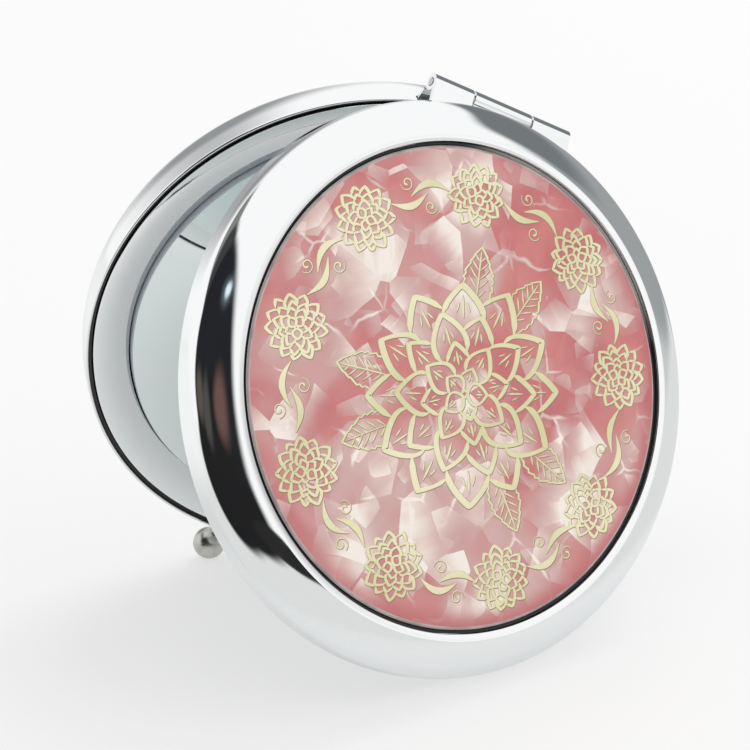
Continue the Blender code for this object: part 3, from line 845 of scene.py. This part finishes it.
# %% Painted shade in the groove
# Painted shade: a near-black ring in the groove, lighter on a stretch towards the hinge.
SHADE_RING_GAP = 0.04 * MM
SHADE_RING_DROP = 0.75 * MM
SHADE_RING_BLACK = (0.016, 0.016, 0.017)
LIGHTER_STRETCH_HEADING = (-0.42, -0.91, 0.0)
LIGHTER_STRETCH_GREY = (0.44, 0.40, 0.37)
LIGHTER_STRETCH_FROM = 23.5 * MM
LIGHTER_STRETCH_FULL = 28 * MM
LIGHTER_STRETCH_WANDER = 1.5 * MM


def film_and_glue():
    """Painted shade all round the groove, lighter on a stretch towards the hinge."""
    net = Finish("film_and_glue", LID)
    towards_hinge = net.vector("DOT_PRODUCT", net.place, LIGHTER_STRETCH_HEADING)
    reach = net.math("MULTIPLY_ADD", net.noise(350.0), LIGHTER_STRETCH_WANDER, towards_hinge)
    lighter_stretch = net.step(reach, LIGHTER_STRETCH_FROM, LIGHTER_STRETCH_FULL)
    return net.surface(Base_Color=net.mix(lighter_stretch, SHADE_RING_BLACK, LIGHTER_STRETCH_GREY), Roughness=0.5)


inner, outer = INLAY_RADIUS + SHADE_RING_GAP, RECESS_RADIUS - SHADE_RING_GAP
foot = SHELL_DEPTH - RECESS_DEPTH + SHADE_RING_GAP
middle = ((inner + outer) / 2, SHELL_DEPTH - SHADE_RING_DROP)
crown = arc(middle, (outer - inner) / 2, (outer - inner) / 4, 180, 0, 8)
film = turn("inlay_groove_shade_ring", [(inner, foot), *crown, (outer, foot)], [film_and_glue()], ring=True)
settle(film, "lid", "black_film")

# %% [markdown]
# The lid is decorated with a gilt line print. This one is a plain ornament of its own: a formal
# flower of four rings of pointed petals, three pairs of leaves behind it, and a border of nine
# small blossoms with slim leaves and tendrils between them. It could be a picture, but drawing it
# from formulas keeps it sharp at any size. Each petal is a closed outline. A petal's outline is
# left out where a petal nearer the middle covers it, as an engraver would do.

# %% Outlines of petals and leaves
PRINT_SEED = 23
chance = random.Random(PRINT_SEED)


def petal_loop(root, tip, half_width, steps, fullness=0.8, teeth=0.0, tooth_count=7):
    """A pointed oval along X, as (x, y) points round its outline."""
    side = []
    for step in range(1, steps // 2):
        share = (1 - math.cos(math.pi * step / (steps // 2))) / 2
        width = half_width * math.sin(math.pi * share**fullness) ** 0.85
        width *= 1 - teeth * ((share * tooth_count) % 1.0)
        side.append((root + (tip - root) * share, width))
    back = [(x, -y) for x, y in reversed(side)]
    return [(root, 0.0), *side, (tip, 0.0), *back]


def placed(points, centre, heading):
    """Turns points to a heading and moves them to a centre."""
    cosine, sine = math.cos(heading), math.sin(heading)
    at_x, at_y = centre
    return [(at_x + x * cosine - y * sine, at_y + x * sine + y * cosine) for x, y in points]


def covers(loop, point):
    """Whether a point lies inside a closed outline."""
    x, y = point
    inside = False
    for (ax, ay), (bx, by) in zip(loop, loop[1:] + loop[:1]):
        if (ay > y) != (by > y) and x < ax + (bx - ax) * (y - ay) / (by - ay):
            inside = not inside
    return inside


def hidden(loops, point):
    for loop, (low_x, high_x, low_y, high_y) in loops:
        if low_x < point[0] < high_x and low_y < point[1] < high_y and covers(loop, point):
            return True
    return False


def with_box(loop):
    xs = [x for x, y in loop]
    ys = [y for x, y in loop]
    return loop, (min(xs), max(xs), min(ys), max(ys))


def seen_runs(points, closed, front):
    """Cuts a line into the runs of points that no outline in front covers."""
    seen = [not hidden(front, point) for point in points]
    if all(seen):
        return [(points, closed)]
    if closed:
        first = seen.index(False)
        points = points[first:] + points[:first]
        seen = seen[first:] + seen[:first]
    runs, run = [], []
    for point, show in zip([*points, points[0]], [*seen, False]):
        if show:
            run.append(point)
        elif run:
            runs.append((run, False))
            run = []
    return [(run, closed) for run, closed in runs if len(run) > 3]


# %% [markdown]
# A pen line swells and thins. The width of each stroke follows the direction in which it runs, as
# if drawn with a broad nib, and the ends of open strokes are drawn out to a point.

# %% Strokes
NIB_HEADING = math.radians(35)
THIN_SHARE = 0.5
END_STEPS = 4
BORDER_RADIUS = 23.5 * MM
LEAF_ROOT = 9.5 * MM
LEAF_TIP = 18.0 * MM
LEAF_HALF_WIDTH = 2.3 * MM
LEAF_LINE = 0.16 * MM
CRESCENT_STEPS = 22
CRESCENT_HALF_WIDTH = 0.48 * MM
TENDRIL_STEPS = 40
TENDRIL_TURNS = 1.2
TENDRIL_SIZE = 0.85 * MM
TENDRIL_LINE = 0.15 * MM


def polar(reach, angle, centre=(0.0, 0.0)):
    return centre[0] + reach * math.cos(angle), centre[1] + reach * math.sin(angle)


def penned(points, closed, half_width):
    """Gives each point of a line its half width, by its heading against the nib's."""
    stroke = []
    count = len(points)
    for index, (x, y) in enumerate(points):
        ahead = points[(index + 1) % count] if closed or index < count - 1 else points[index]
        behind = points[index - 1] if closed or index > 0 else points[index]
        heading = math.atan2(ahead[1] - behind[1], ahead[0] - behind[0])
        swell = THIN_SHARE + (1 - THIN_SHARE) * abs(math.sin(heading - NIB_HEADING))
        if not closed:
            swell *= min(1.0, (min(index, count - 1 - index) + 1) / END_STEPS)
        stroke.append((x, y, half_width * swell))
    return stroke, closed


def traced(points, closed, front, half_width):
    """The strokes of a line, as far as no outline in front covers it."""
    return [penned(run, whole, half_width) for run, whole in seen_runs(points, closed, front)]


def rosette(centre, turn, rings, steps, veins=0.0, wander=0.0):
    """Rings of petals from the middle out. A ring is (petals, root, tip, half width, line)."""
    strokes, front = [], []
    for petals, *sizes in rings:
        root, tip, half_width, line = [size * MM for size in sizes]
        turn += math.pi / petals + chance.uniform(-wander, wander)
        order = sorted(range(petals), key=lambda index: index % 2)
        for index in order:
            heading = turn + math.tau * index / petals + chance.uniform(-wander, wander) / 2
            longer = 1 + chance.uniform(-wander, wander) / 2
            wider = 1 + chance.uniform(-wander, wander)
            petal = petal_loop(root, tip * longer, half_width * wider, steps)
            loop = placed(petal, centre, heading)
            strokes += traced(loop, True, front, line)
            if veins:
                reach = tip - root
                for side in (-1, 0, 1):
                    start = root + reach * (0.42 + 0.10 * abs(side))
                    end = root + reach * (0.80 - 0.12 * abs(side))
                    vein = [(start + (end - start) * step / 10,
                             side * half_width * (0.34 - 0.16 * step / 10)) for step in range(11)]
                    vein = placed(vein, centre, heading)
                    strokes += traced(vein, False, front, veins * (1 - 0.3 * abs(side)))
            front.append(with_box(loop))
    return strokes, front


def leaf(centre, heading, front):
    """A toothed leaf with a midrib and side veins, behind what is already drawn."""
    outline = petal_loop(LEAF_ROOT, LEAF_TIP, LEAF_HALF_WIDTH, 96, 0.9, 0.16, 8)
    loop = placed(outline, centre, heading)
    strokes = traced(loop, True, front, LEAF_LINE)
    reach = LEAF_TIP - LEAF_ROOT
    veins = [[(LEAF_ROOT + reach * step / 24, 0.0) for step in range(24)]]
    for number in range(1, 6):
        start = LEAF_ROOT + reach * (0.14 + 0.13 * number)
        spread = LEAF_HALF_WIDTH * 0.62 * math.sin(math.pi * (0.16 + 0.13 * number))
        for side in (-1, 1):
            steps = [step / 8 for step in range(9)]
            veins.append([(start + spread * step, side * spread * step**0.85) for step in steps])
    for vein in veins:
        strokes += traced(placed(vein, centre, heading), False, front, LEAF_LINE * 0.8)
    front.append(with_box(loop))
    return strokes


def crescent(start, end, bow):
    """A slim leaf that follows the border, thick in its middle."""
    stroke = []
    for step in range(CRESCENT_STEPS + 1):
        share = step / CRESCENT_STEPS
        swell = math.sin(math.pi * share)
        place = polar(BORDER_RADIUS + bow * swell, start + (end - start) * share)
        stroke.append((*place, CRESCENT_HALF_WIDTH * (0.12 + 0.88 * swell**1.3)))
    return stroke, False


def tendril(centre, heading, way):
    """A spiral that winds in to a small knob."""
    stroke = []
    for step in range(TENDRIL_STEPS + 1):
        share = step / TENDRIL_STEPS
        angle = heading + way * math.tau * TENDRIL_TURNS * share
        reach = TENDRIL_SIZE * (1 - share) ** 0.8 + TENDRIL_SIZE * 0.12
        knob = 0.8 + 0.7 * max(0.0, share - 0.8) / 0.2
        width = TENDRIL_LINE * (0.35 + 0.65 * share) * knob
        stroke.append((*polar(reach, angle, centre), width))
    return stroke, False


# %% [markdown]
# The ornament itself is a short list of rings of petals and a border. Every petal is drawn by one
# function, and a fixed seed gives each its small difference, so it comes out the same every time.

# %% The ornament
# petals, root, tip, half width and line, the sizes in mm
FLOWER_RINGS = [
    (5, 0.4, 3.2, 1.30, 0.24),
    (8, 1.6, 6.2, 1.80, 0.35),
    (10, 3.4, 9.8, 2.40, 0.43),
    (12, 6.0, 13.4, 2.85, 0.50),
]
BLOSSOM_RINGS = [
    (5, 0.20, 1.45, 0.55, 0.21),
    (8, 0.75, 2.30, 0.68, 0.23),
    (11, 1.30, 3.10, 0.74, 0.24),
    (13, 1.95, 3.90, 0.82, 0.25),
]
FLOWER_PLACE = (-0.6 * MM, 0.8 * MM)
FLOWER_TURN = 0.2
FLOWER_VEIN = 0.17 * MM
FLOWER_STEPS, BLOSSOM_STEPS = 72, 40
FLOWER_WANDER, BLOSSOM_WANDER = 0.07, 0.12
LEAF_PAIRS = [math.radians(heading) for heading in (20, 145, 262)]
LEAF_SPREAD = math.radians(15)
BLOSSOMS = 9
BLOSSOM_SPAN = math.radians(9.8)
CRESCENT_APART = 0.05
CRESCENT_BOW = 1.1 * MM
TENDRIL_OFFSET = 1.7 * MM
TENDRIL_APART = 0.055


def draw_ornament():
    strokes, front = rosette(FLOWER_PLACE, FLOWER_TURN, FLOWER_RINGS, FLOWER_STEPS, FLOWER_VEIN,
                             FLOWER_WANDER)
    for pair in LEAF_PAIRS:
        for side in (-1, 1):
            strokes += leaf(FLOWER_PLACE, pair + side * LEAF_SPREAD, front)
    step = math.tau / BLOSSOMS
    for number in range(BLOSSOMS):
        angle = step * number + chance.uniform(-0.03, 0.03)
        centre = polar(BORDER_RADIUS + chance.uniform(-0.2, 0.2) * MM, angle)
        turn = chance.uniform(0, math.tau)
        strokes += rosette(centre, turn, BLOSSOM_RINGS, BLOSSOM_STEPS, 0.0, BLOSSOM_WANDER)[0]
        next_angle = step * (number + 1)
        middle = (angle + next_angle) / 2
        for start, side in ((angle, 1), (next_angle, -1)):
            strokes.append(crescent(start + side * BLOSSOM_SPAN, middle + side * CRESCENT_APART,
                                    side * CRESCENT_BOW))
        for side in (-1, 1):
            knob = polar(BORDER_RADIUS + side * TENDRIL_OFFSET, middle + side * TENDRIL_APART)
            strokes.append(tendril(knob, middle + side * math.pi / 2, side))
    return strokes


ornament = draw_ornament()
point_count = sum(len(stroke) for stroke, closed in ornament)
print("the ornament has", len(ornament), "strokes and", point_count, "points")

# %% [markdown]
# Each stroke is a curve that lies on the dome, with the pen's half width as its radius. One
# Geometry Nodes tree sweeps a flat section with sloping sides along all of them. It runs twice:
# once for the gilt film, and once, lower, wider and shifted to one side, for a brown painted shadow
# of the print on the pearl.

# %% The foil tree
FOIL_FACE = 1.7
FOIL_FOOT = 2.0
FOIL_HEIGHT = 0.22
FOIL_SHIFT = (0.0, 0.0, 0.012 * MM)
# Painted shadow of the print: a brown copy, lower, wider and shifted to one side.
PRINT_SHADOW_HEIGHT = 0.10
PRINT_SHADOW_GROWTH = 0.05 * MM
PRINT_SHADOW_SHIFT = (-0.06 * MM, 0.03 * MM, 0.0)


def make_foil_tree():
    net, given = new_tree("foil", {"Growth": "Float", "Height": "Float", "Shift": "Vector"})
    wider = net.add("ShaderNodeMath", _0=net.add("InputRadius"), _1=given["Growth"])
    shifted = net.add("SetPosition", Geometry=given["Geometry"], Offset=given["Shift"])
    upright = net.add("SetCurveNormal", mode="Z_UP", Curve=shifted)
    section = net.add("CurvePrimitiveQuadrilateral", mode="TRAPEZOID", Bottom_Width=FOIL_FACE,
                      Top_Width=FOIL_FOOT, Offset=0.0, Height=given["Height"])
    sweep = net.add("CurveToMesh", Curve=upright, Profile_Curve=section, Scale=wider,
                    Fill_Caps=True)
    return finish_tree(net, given, sweep)


FOIL = make_foil_tree()
print("the foil tree has", len(FOIL.nodes), "nodes")


def lay_foil(name, strokes, material, growth, height, shift):
    lines = [([(x, y, dome_height(math.hypot(x, y)), width) for x, y, width in points], closed)
             for points, closed in strokes]
    film = grown(poly_curve(name + "_lines", lines), FOIL, name, Growth=growth, Height=height,
                 Shift=shift, Material=material)
    film.data.transform(TO_DISC)
    settle(film, "lid", "pearl_resin")


# %% [markdown]
# Gilt on plastic isn't solid gold: it is a thin lacquer with metal powder in it, pale, soft and a
# little uneven. So the shader is only partly metallic, and its tone wanders in patches between a
# pale gold and a darker one, which is partly that unevenness and partly painted shade.

# %% Gilt and its painted shadow
GILT_PALE = (0.93, 0.885, 0.60)
GILT_SHADED = (0.74, 0.70, 0.40)
# The brown colours of the print's painted shadow.
PRINT_SHADOW_BROWN = (0.22, 0.15, 0.08)
PRINT_SHADOW_TAN = (0.36, 0.25, 0.13)


def make_gilt():
    net = Finish("pale_gilt", LID)
    powder = net.noise(3500.0)
    # The darker gold in these patches is partly painted shade.
    tone = net.mix(net.step(net.noise(75.0, 4.0), 0.3, 0.7), GILT_SHADED, GILT_PALE)
    return net.surface(Base_Color=tone, Metallic=0.2, Normal=net.relief(powder, 0.2, 0.01 * MM),
                       Roughness=net.step(powder, 0.3, 0.7, 0.32, 0.45))


# The print's painted shadow in brown.
painted_print_shadow = grained("print_edge", LID, 900.0, PRINT_SHADOW_BROWN, PRINT_SHADOW_TAN, detail=2.0, Roughness=0.5)
lay_foil("gilt_print", ornament, make_gilt(), 0.0, FOIL_HEIGHT, FOIL_SHIFT)
lay_foil("gilt_painted_shadow", ornament, painted_print_shadow, PRINT_SHADOW_GROWTH, PRINT_SHADOW_HEIGHT, PRINT_SHADOW_SHIFT)

# %% [markdown]
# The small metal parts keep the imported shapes. A copy of each is welded into one clean mesh, its
# flat facets are merged, and a narrow bevel breaks the edges, because an edge with no width never
# catches the light. Weighted normals then keep the large faces flat beside the round ones.

# %% Small metal parts
WELD = 0.002 * MM
COPLANAR = math.radians(0.6)
BEVEL_FROM = math.radians(40)
STEEL_DARK = (0.52, 0.53, 0.54)
STEEL_LIGHT = (0.68, 0.69, 0.70)
BRUSHED_ALONG = (1.0, 12.0, 12.0)


def refined(name, node, material, width, body, slot):
    """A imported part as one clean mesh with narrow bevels."""
    shape = bmesh.new()
    shape.from_mesh(frame["nodes"][node].data)
    bmesh.ops.remove_doubles(shape, verts=shape.verts, dist=WELD)
    bmesh.ops.dissolve_limit(shape, angle_limit=COPLANAR, verts=shape.verts, edges=shape.edges)
    mesh = mesh_of(name, shape)
    mesh.transform(HALVES[body].inverted())
    mesh.materials.append(material)
    piece = add_object(name + "_rough", mesh)
    bevel = piece.modifiers.new("edges", "BEVEL")
    bevel.width = width
    bevel.segments = 2
    bevel.limit_method = "ANGLE"
    bevel.angle_limit = BEVEL_FROM
    piece = plain_mesh(piece, name + "_bevelled")
    shade(piece)
    even = piece.modifiers.new("flat faces", "WEIGHTED_NORMAL")
    even.keep_sharp = True
    settle(plain_mesh(piece, name), body, slot, node, sharp=None)


def satin_steel(name, half):
    net = Finish(name, half)
    stretched = net.vector("MULTIPLY", net.place, BRUSHED_ALONG)
    brushed = net.add("TexNoise", Vector=stretched, Scale=700.0, Detail=3.0)
    return net.surface(Base_Color=net.mix(brushed, STEEL_DARK, STEEL_LIGHT), Metallic=1.0,
                       Roughness=net.step(brushed, 0.3, 0.7, 0.2, 0.34),
                       Normal=net.relief(brushed, 0.12, 0.02 * MM))


lid_steel = satin_steel("lid_steel", LID)
base_steel = satin_steel("base_steel", BASE)
SMALL_PARTS = [
    ("lid_hinge_knuckles", "lid_hinge_leaf", lid_chrome, 0.07 * MM, "lid", "polished_chrome"),
    ("base_hinge_knuckle", "base_hinge_leaf", base_chrome, 0.07 * MM, "base", "polished_chrome"),
    ("hinge_pin_rod", "hinge_pin", base_steel, 0.08 * MM, "base", "plated_steel"),
    ("latch_hook_plate", "latch_hook", base_steel, 0.08 * MM, "latch", "plated_steel"),
    ("lid_strike_plate", "lid_strike", lid_steel, 0.06 * MM, "lid", "plated_steel"),
]
for small_part in SMALL_PARTS:
    refined(*small_part)


# %% [markdown]
# The latch is pushed by a small plated ball that stands out of the base's rim on a stem. Ball,
# stem and stop collar are one turned piece. It is turned upright like the others and then laid
# over, so that its axis points out of the rim.

# %% Latch button
BALL_RADIUS = button_high.x
STEM_FILLET = 0.25 * MM
COLLAR_RADIUS = 1.2 * MM
COLLAR_THICKNESS = 0.7 * MM
COLLAR_CORNER = 0.1 * MM
BUTTON_FACETS = 96
NICKEL_DARK = (0.52, 0.51, 0.48)
NICKEL_LIGHT = (0.66, 0.65, 0.62)


def worn_nickel(name, half):
    """The button is nickel without chrome over it: warmer, and dulled by many thumbs."""
    net = Finish(name, half)
    rubbed = net.noise(900.0, 4.0, Roughness=0.6)
    tone = net.mix(net.step(rubbed, 0.35, 0.7), NICKEL_DARK, NICKEL_LIGHT)
    return net.surface(Base_Color=tone, Metallic=1.0,
                       Roughness=net.step(rubbed, 0.3, 0.75, 0.24, 0.38))


ball_y = button_high.y - BALL_RADIUS
collar_inner = button_low.y - ball_y
collar_outer = collar_inner + COLLAR_THICKNESS
meets = math.degrees(math.asin((STEM_RADIUS + STEM_FILLET) / BALL_RADIUS))
ball = arc((0.0, 0.0), BALL_RADIUS, BALL_RADIUS, 90, -90 + meets, 44)
neck = [(STEM_RADIUS, ball[-1][1] - share * STEM_FILLET) for share in (1 / 3, 2)]
fillet = rounded([ball[-1], *neck], STEM_FILLET, 5)
collar = rounded([(STEM_RADIUS, collar_outer), (COLLAR_RADIUS, collar_outer),
                  (COLLAR_RADIUS, collar_inner), (STEM_RADIUS, collar_inner)], COLLAR_CORNER)
lay_over = Matrix.Rotation(-math.pi / 2, 4, "X")
button = turn("latch_ball_button", [*ball[:-1], *fillet, *collar, (0.0, collar_inner)],
              [worn_nickel("button_nickel", BASE)], facets=BUTTON_FACETS,
              place=Matrix.Translation((0.0, ball_y, LATCH_HEIGHT)) @ lay_over)
settle(button, "latch", "polished_chrome", "latch_button")

# %% [markdown]
# Five pieces are hidden when the mirror is whole: three sheets of film and foam, and two small
# parts of the latch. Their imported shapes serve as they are, so they only get a finish.

# %% Hidden parts
FOAM_DARK = (0.62, 0.62, 0.60)
FOAM_LIGHT = (0.74, 0.74, 0.72)
FOAM_GRAIN = 0.3 * MM
lid_foam, base_foam = [
    grained(name, half, 1.0 / FOAM_GRAIN, FOAM_DARK, FOAM_LIGHT, relief=(0.3, FOAM_GRAIN / 10),
            Roughness=0.9)
    for name, half in (("lid_foam", LID), ("base_foam", BASE))
]
HIDDEN = {
    "lid_inlay_tape": ("black_film", black_film),
    "lid_mirror_tape": ("foam_tape", lid_foam),
    "base_mirror_tape": ("foam_tape", base_foam),
    "latch_keeper": ("plated_steel", base_steel),
    "latch_spring": ("plated_steel", base_steel),
}
for node, (slot, finish) in HIDDEN.items():
    part = frame["nodes"][node]
    part.data.materials.clear()
    part.data.materials.append(finish)
print(len(HIDDEN), "hidden parts keep their packed shape")

# %% [markdown]
# Chrome shows its surroundings more than itself, so they are drawn with care. The photograph was
# taken in a white studio with a darker room at the camera's left. Its reflection makes the black
# band on the bezel. Each entry below is an oval in the sky, given by its azimuth and elevation.
# Only mirror rays see them. What lights the object is plain white.

# %% Surroundings
WORLD_LIGHT = 0.66
WHITE_STUDIO = (1.0, 1.0, 1.0)
CLOTH = (0.755, 0.765, 0.76)
HORIZON_SOFTNESS = 1.5
# azimuth, elevation, half width, half height, edge softness, tilt, colour; angles in degrees
ROOM_OVALS = [
    # Painted shadow: a darker patch of cloth below and behind the mirror, seen only in mirrors.
    (159, -55, 74, 23, 0.60, 3, (0.60, 0.61, 0.61)),
    (-132, -9, 53, 14, 0.53, 6, (0.95, 0.955, 0.95)),
    (107.6, 13.3, 41.7, 19.6, 0.14, -8, (0.325, 0.34, 0.35)),
    (132, 0.8, 25.6, 14.6, 0.15, -22, (0.345, 0.36, 0.37)),
    (108, 23.2, 35, 15.7, 0.10, -11, (0.18, 0.195, 0.205)),
    (98, 8.3, 41, 10.6, 0.48, -1, (0.35, 0.36, 0.365)),
    (182, 23.8, 26, 18.3, 0.58, 42, (0.31, 0.32, 0.325)),
    (-103, 53.5, 51.5, 11.6, 0.15, 1, (0.235, 0.24, 0.23)),
    (-62.5, 48.4, 54, 17.3, 0.11, -8, (0.05, 0.052, 0.055)),
    (-42, 27, 51, 34.4, 0.08, -20, (0.018, 0.019, 0.022)),
    (-43.6, 1.4, 36.6, 24.8, 0.11, 10, (0.016, 0.016, 0.017)),
    (-25, -0.7, 32.7, 15, 0.11, 4, (0.017, 0.017, 0.018)),
    (5, -3.9, 17.4, 4.3, 0.13, 5, (0.024, 0.024, 0.024)),
    (-16, 20, 11, 7, 0.5, -5, (0.15, 0.085, 0.075)),
    (-66, 18, 12, 7, 0.5, 0, (0.10, 0.09, 0.07)),
    (-46, 17, 9, 9, 0.5, 0, (0.08, 0.075, 0.07)),
    (-19, 45.5, 12, 3.2, 0.7, -14, (0.10, 0.14, 0.16)),
    (-17, 45.2, 6.5, 1.8, 0.5, -14, (0.80, 0.95, 1.0)),
]


def in_oval(net, azimuth, elevation, middle, height, wide, high, soft, tilt):
    """1 inside an oval of the sky, 0 outside, soft at its edge."""
    tilt = math.radians(tilt)
    sideways = net.math("WRAP", net.math("SUBTRACT", azimuth, middle), 180.0, -180.0)
    place = net.add("CombineXYZ", X=sideways, Y=net.math("SUBTRACT", elevation, height))
    across = net.vector("DOT_PRODUCT", place, (math.cos(tilt) / wide, math.sin(tilt) / wide, 0.0))
    along = net.vector("DOT_PRODUCT", place, (-math.sin(tilt) / high, math.cos(tilt) / high, 0.0))
    reach = net.vector("LENGTH", net.add("CombineXYZ", X=across, Y=along))
    return net.step(reach, 1 - soft, 1 + soft, 1.0, 0.0)


def surroundings(net, direction):
    """What a mirror sees in a direction. Azimuth 0 looks along -Y and 90 along +X."""
    parts = net.add("SeparateXYZ", Vector=direction)
    back = net.math("MULTIPLY", parts.outputs["Y"], -1.0)
    azimuth = net.math("DEGREES", net.math("ARCTAN2", parts.outputs["X"], back))
    elevation = net.math("DEGREES", net.math("ARCSINE", parts.outputs["Z"]))
    colour = net.mix(net.step(elevation, -HORIZON_SOFTNESS, HORIZON_SOFTNESS), CLOTH, WHITE_STUDIO)
    for *oval, tone in ROOM_OVALS:
        colour = net.mix(in_oval(net, azimuth, elevation, *oval), colour, tone)
    return colour


def in_mirrors(net):
    """1 for rays that a mirror or glass sent on."""
    rays = net.add("LightPath").outputs
    return net.math("MAXIMUM", rays["Is Glossy Ray"], rays["Is Transmission Ray"])


scene.world = bpy.data.worlds.new("studio")
scene.world.use_nodes = True
sky = Net(scene.world.node_tree)
direction = sky.add("TexCoord").outputs["Generated"]
seen = sky.mix(in_mirrors(sky), WHITE_STUDIO, surroundings(sky, direction))
diffuse = sky.add("LightPath").outputs["Is Diffuse Ray"]
strength = sky.math("MULTIPLY_ADD", diffuse, WORLD_LIGHT - 1.0, 1.0)
sky.add("OutputWorld", Surface=sky.add("Background", Color=seen, Strength=strength))
print("the sky holds", len(ROOM_OVALS), "ovals")

# %% [markdown]
# The floor is a pale cloth without texture. The camera sees it half as a lit surface, which keeps
# the soft shadow, and half as plain white, which lets it run into the background. Mirror rays see
# the lit cloth near the mirror, with its shade under the tent of the two halves. Further out they
# pass on to the surroundings, which hold the cloth's colour below the horizon. Two large soft lamps
# give the shadow its direction: it falls to the front left, as in the photograph.

# %% Floor and lamps
FLOOR_REACH = 4.0
FLOOR_COLOUR = (0.90, 0.90, 0.895, 1.0)
FLOOR_GLOW = (1.0, 1.0, 1.0, 1.0)
FLOOR_WHITE_SHARE = 0.58
CLOTH_IN_MIRROR = (0.84, 0.85, 0.85, 1.0)
DEEP_SHADE = 6 * MM
OPEN_FLOOR = 42 * MM
DEEP_GLOW, OPEN_GLOW = 0.35, 0.75
NEAR_FLOOR = 40 * MM
FAR_FLOOR = 58 * MM
# name, azimuth, elevation, distance, side, watts
LAMPS = [
    ("back_softbox", 125, 55, 1.2, 0.8, 4.5),
    ("front_window", 35, 35, 1.4, 1.2, 4.0),
]


def cloth_and_glow(net, share, colour, glow_colour):
    """Partly a lit cloth, partly a surface that shines by itself."""
    return net.add("MixShader", _0=share, _1=net.add("BsdfDiffuse", Color=colour),
                   _2=net.add("Emission", Color=glow_colour))


def floor_finish():
    material = bpy.data.materials.new("pale_floor")
    material.use_nodes = True
    net = Net(material.node_tree)
    distance = net.vector("LENGTH", net.add("TexCoord").outputs["Object"])
    seen = cloth_and_glow(net, FLOOR_WHITE_SHARE, FLOOR_COLOUR, FLOOR_GLOW)
    shown = net.add("MixShader", _0=net.add("LightPath").outputs["Is Camera Ray"],
                    _1=net.add("BsdfDiffuse", Color=FLOOR_COLOUR), _2=seen)
    glow_share = net.step(distance, DEEP_SHADE, OPEN_FLOOR, DEEP_GLOW, OPEN_GLOW)
    near = cloth_and_glow(net, glow_share, CLOTH_IN_MIRROR, CLOTH_IN_MIRROR)
    mirrored = net.add("MixShader", _0=net.step(distance, NEAR_FLOOR, FAR_FLOOR), _1=near,
                       _2=net.add("BsdfTransparent"))
    both = net.add("MixShader", _0=in_mirrors(net), _1=shown, _2=mirrored)
    net.add("OutputMaterial", Surface=both)
    return material


floor_mesh = bpy.data.meshes.new("floor")
corners = [(x * FLOOR_REACH, y * FLOOR_REACH, 0) for x, y in ((-1, -1), (1, -1), (1, 1), (-1, 1))]
floor_mesh.from_pydata(corners, [], [(0, 1, 2, 3)])
floor_mesh.materials.append(floor_finish())
add_object("floor", floor_mesh)

for name, azimuth, elevation, distance, side, watts in LAMPS:
    lamp_data = bpy.data.lights.new(name, "AREA")
    lamp_data.shape = "SQUARE"
    lamp_data.size = side
    lamp_data.energy = watts
    around, rise = math.radians(azimuth), math.radians(elevation)
    flat = math.cos(rise)
    heading = Vector((math.sin(around) * flat, -math.cos(around) * flat, math.sin(rise)))
    lamp = add_object(name, lamp_data)
    lamp.location = heading * distance
    lamp.rotation_euler = heading.to_track_quat("Z", "Y").to_euler()
    lamp.visible_glossy = False
print(len(LAMPS), "lamps")
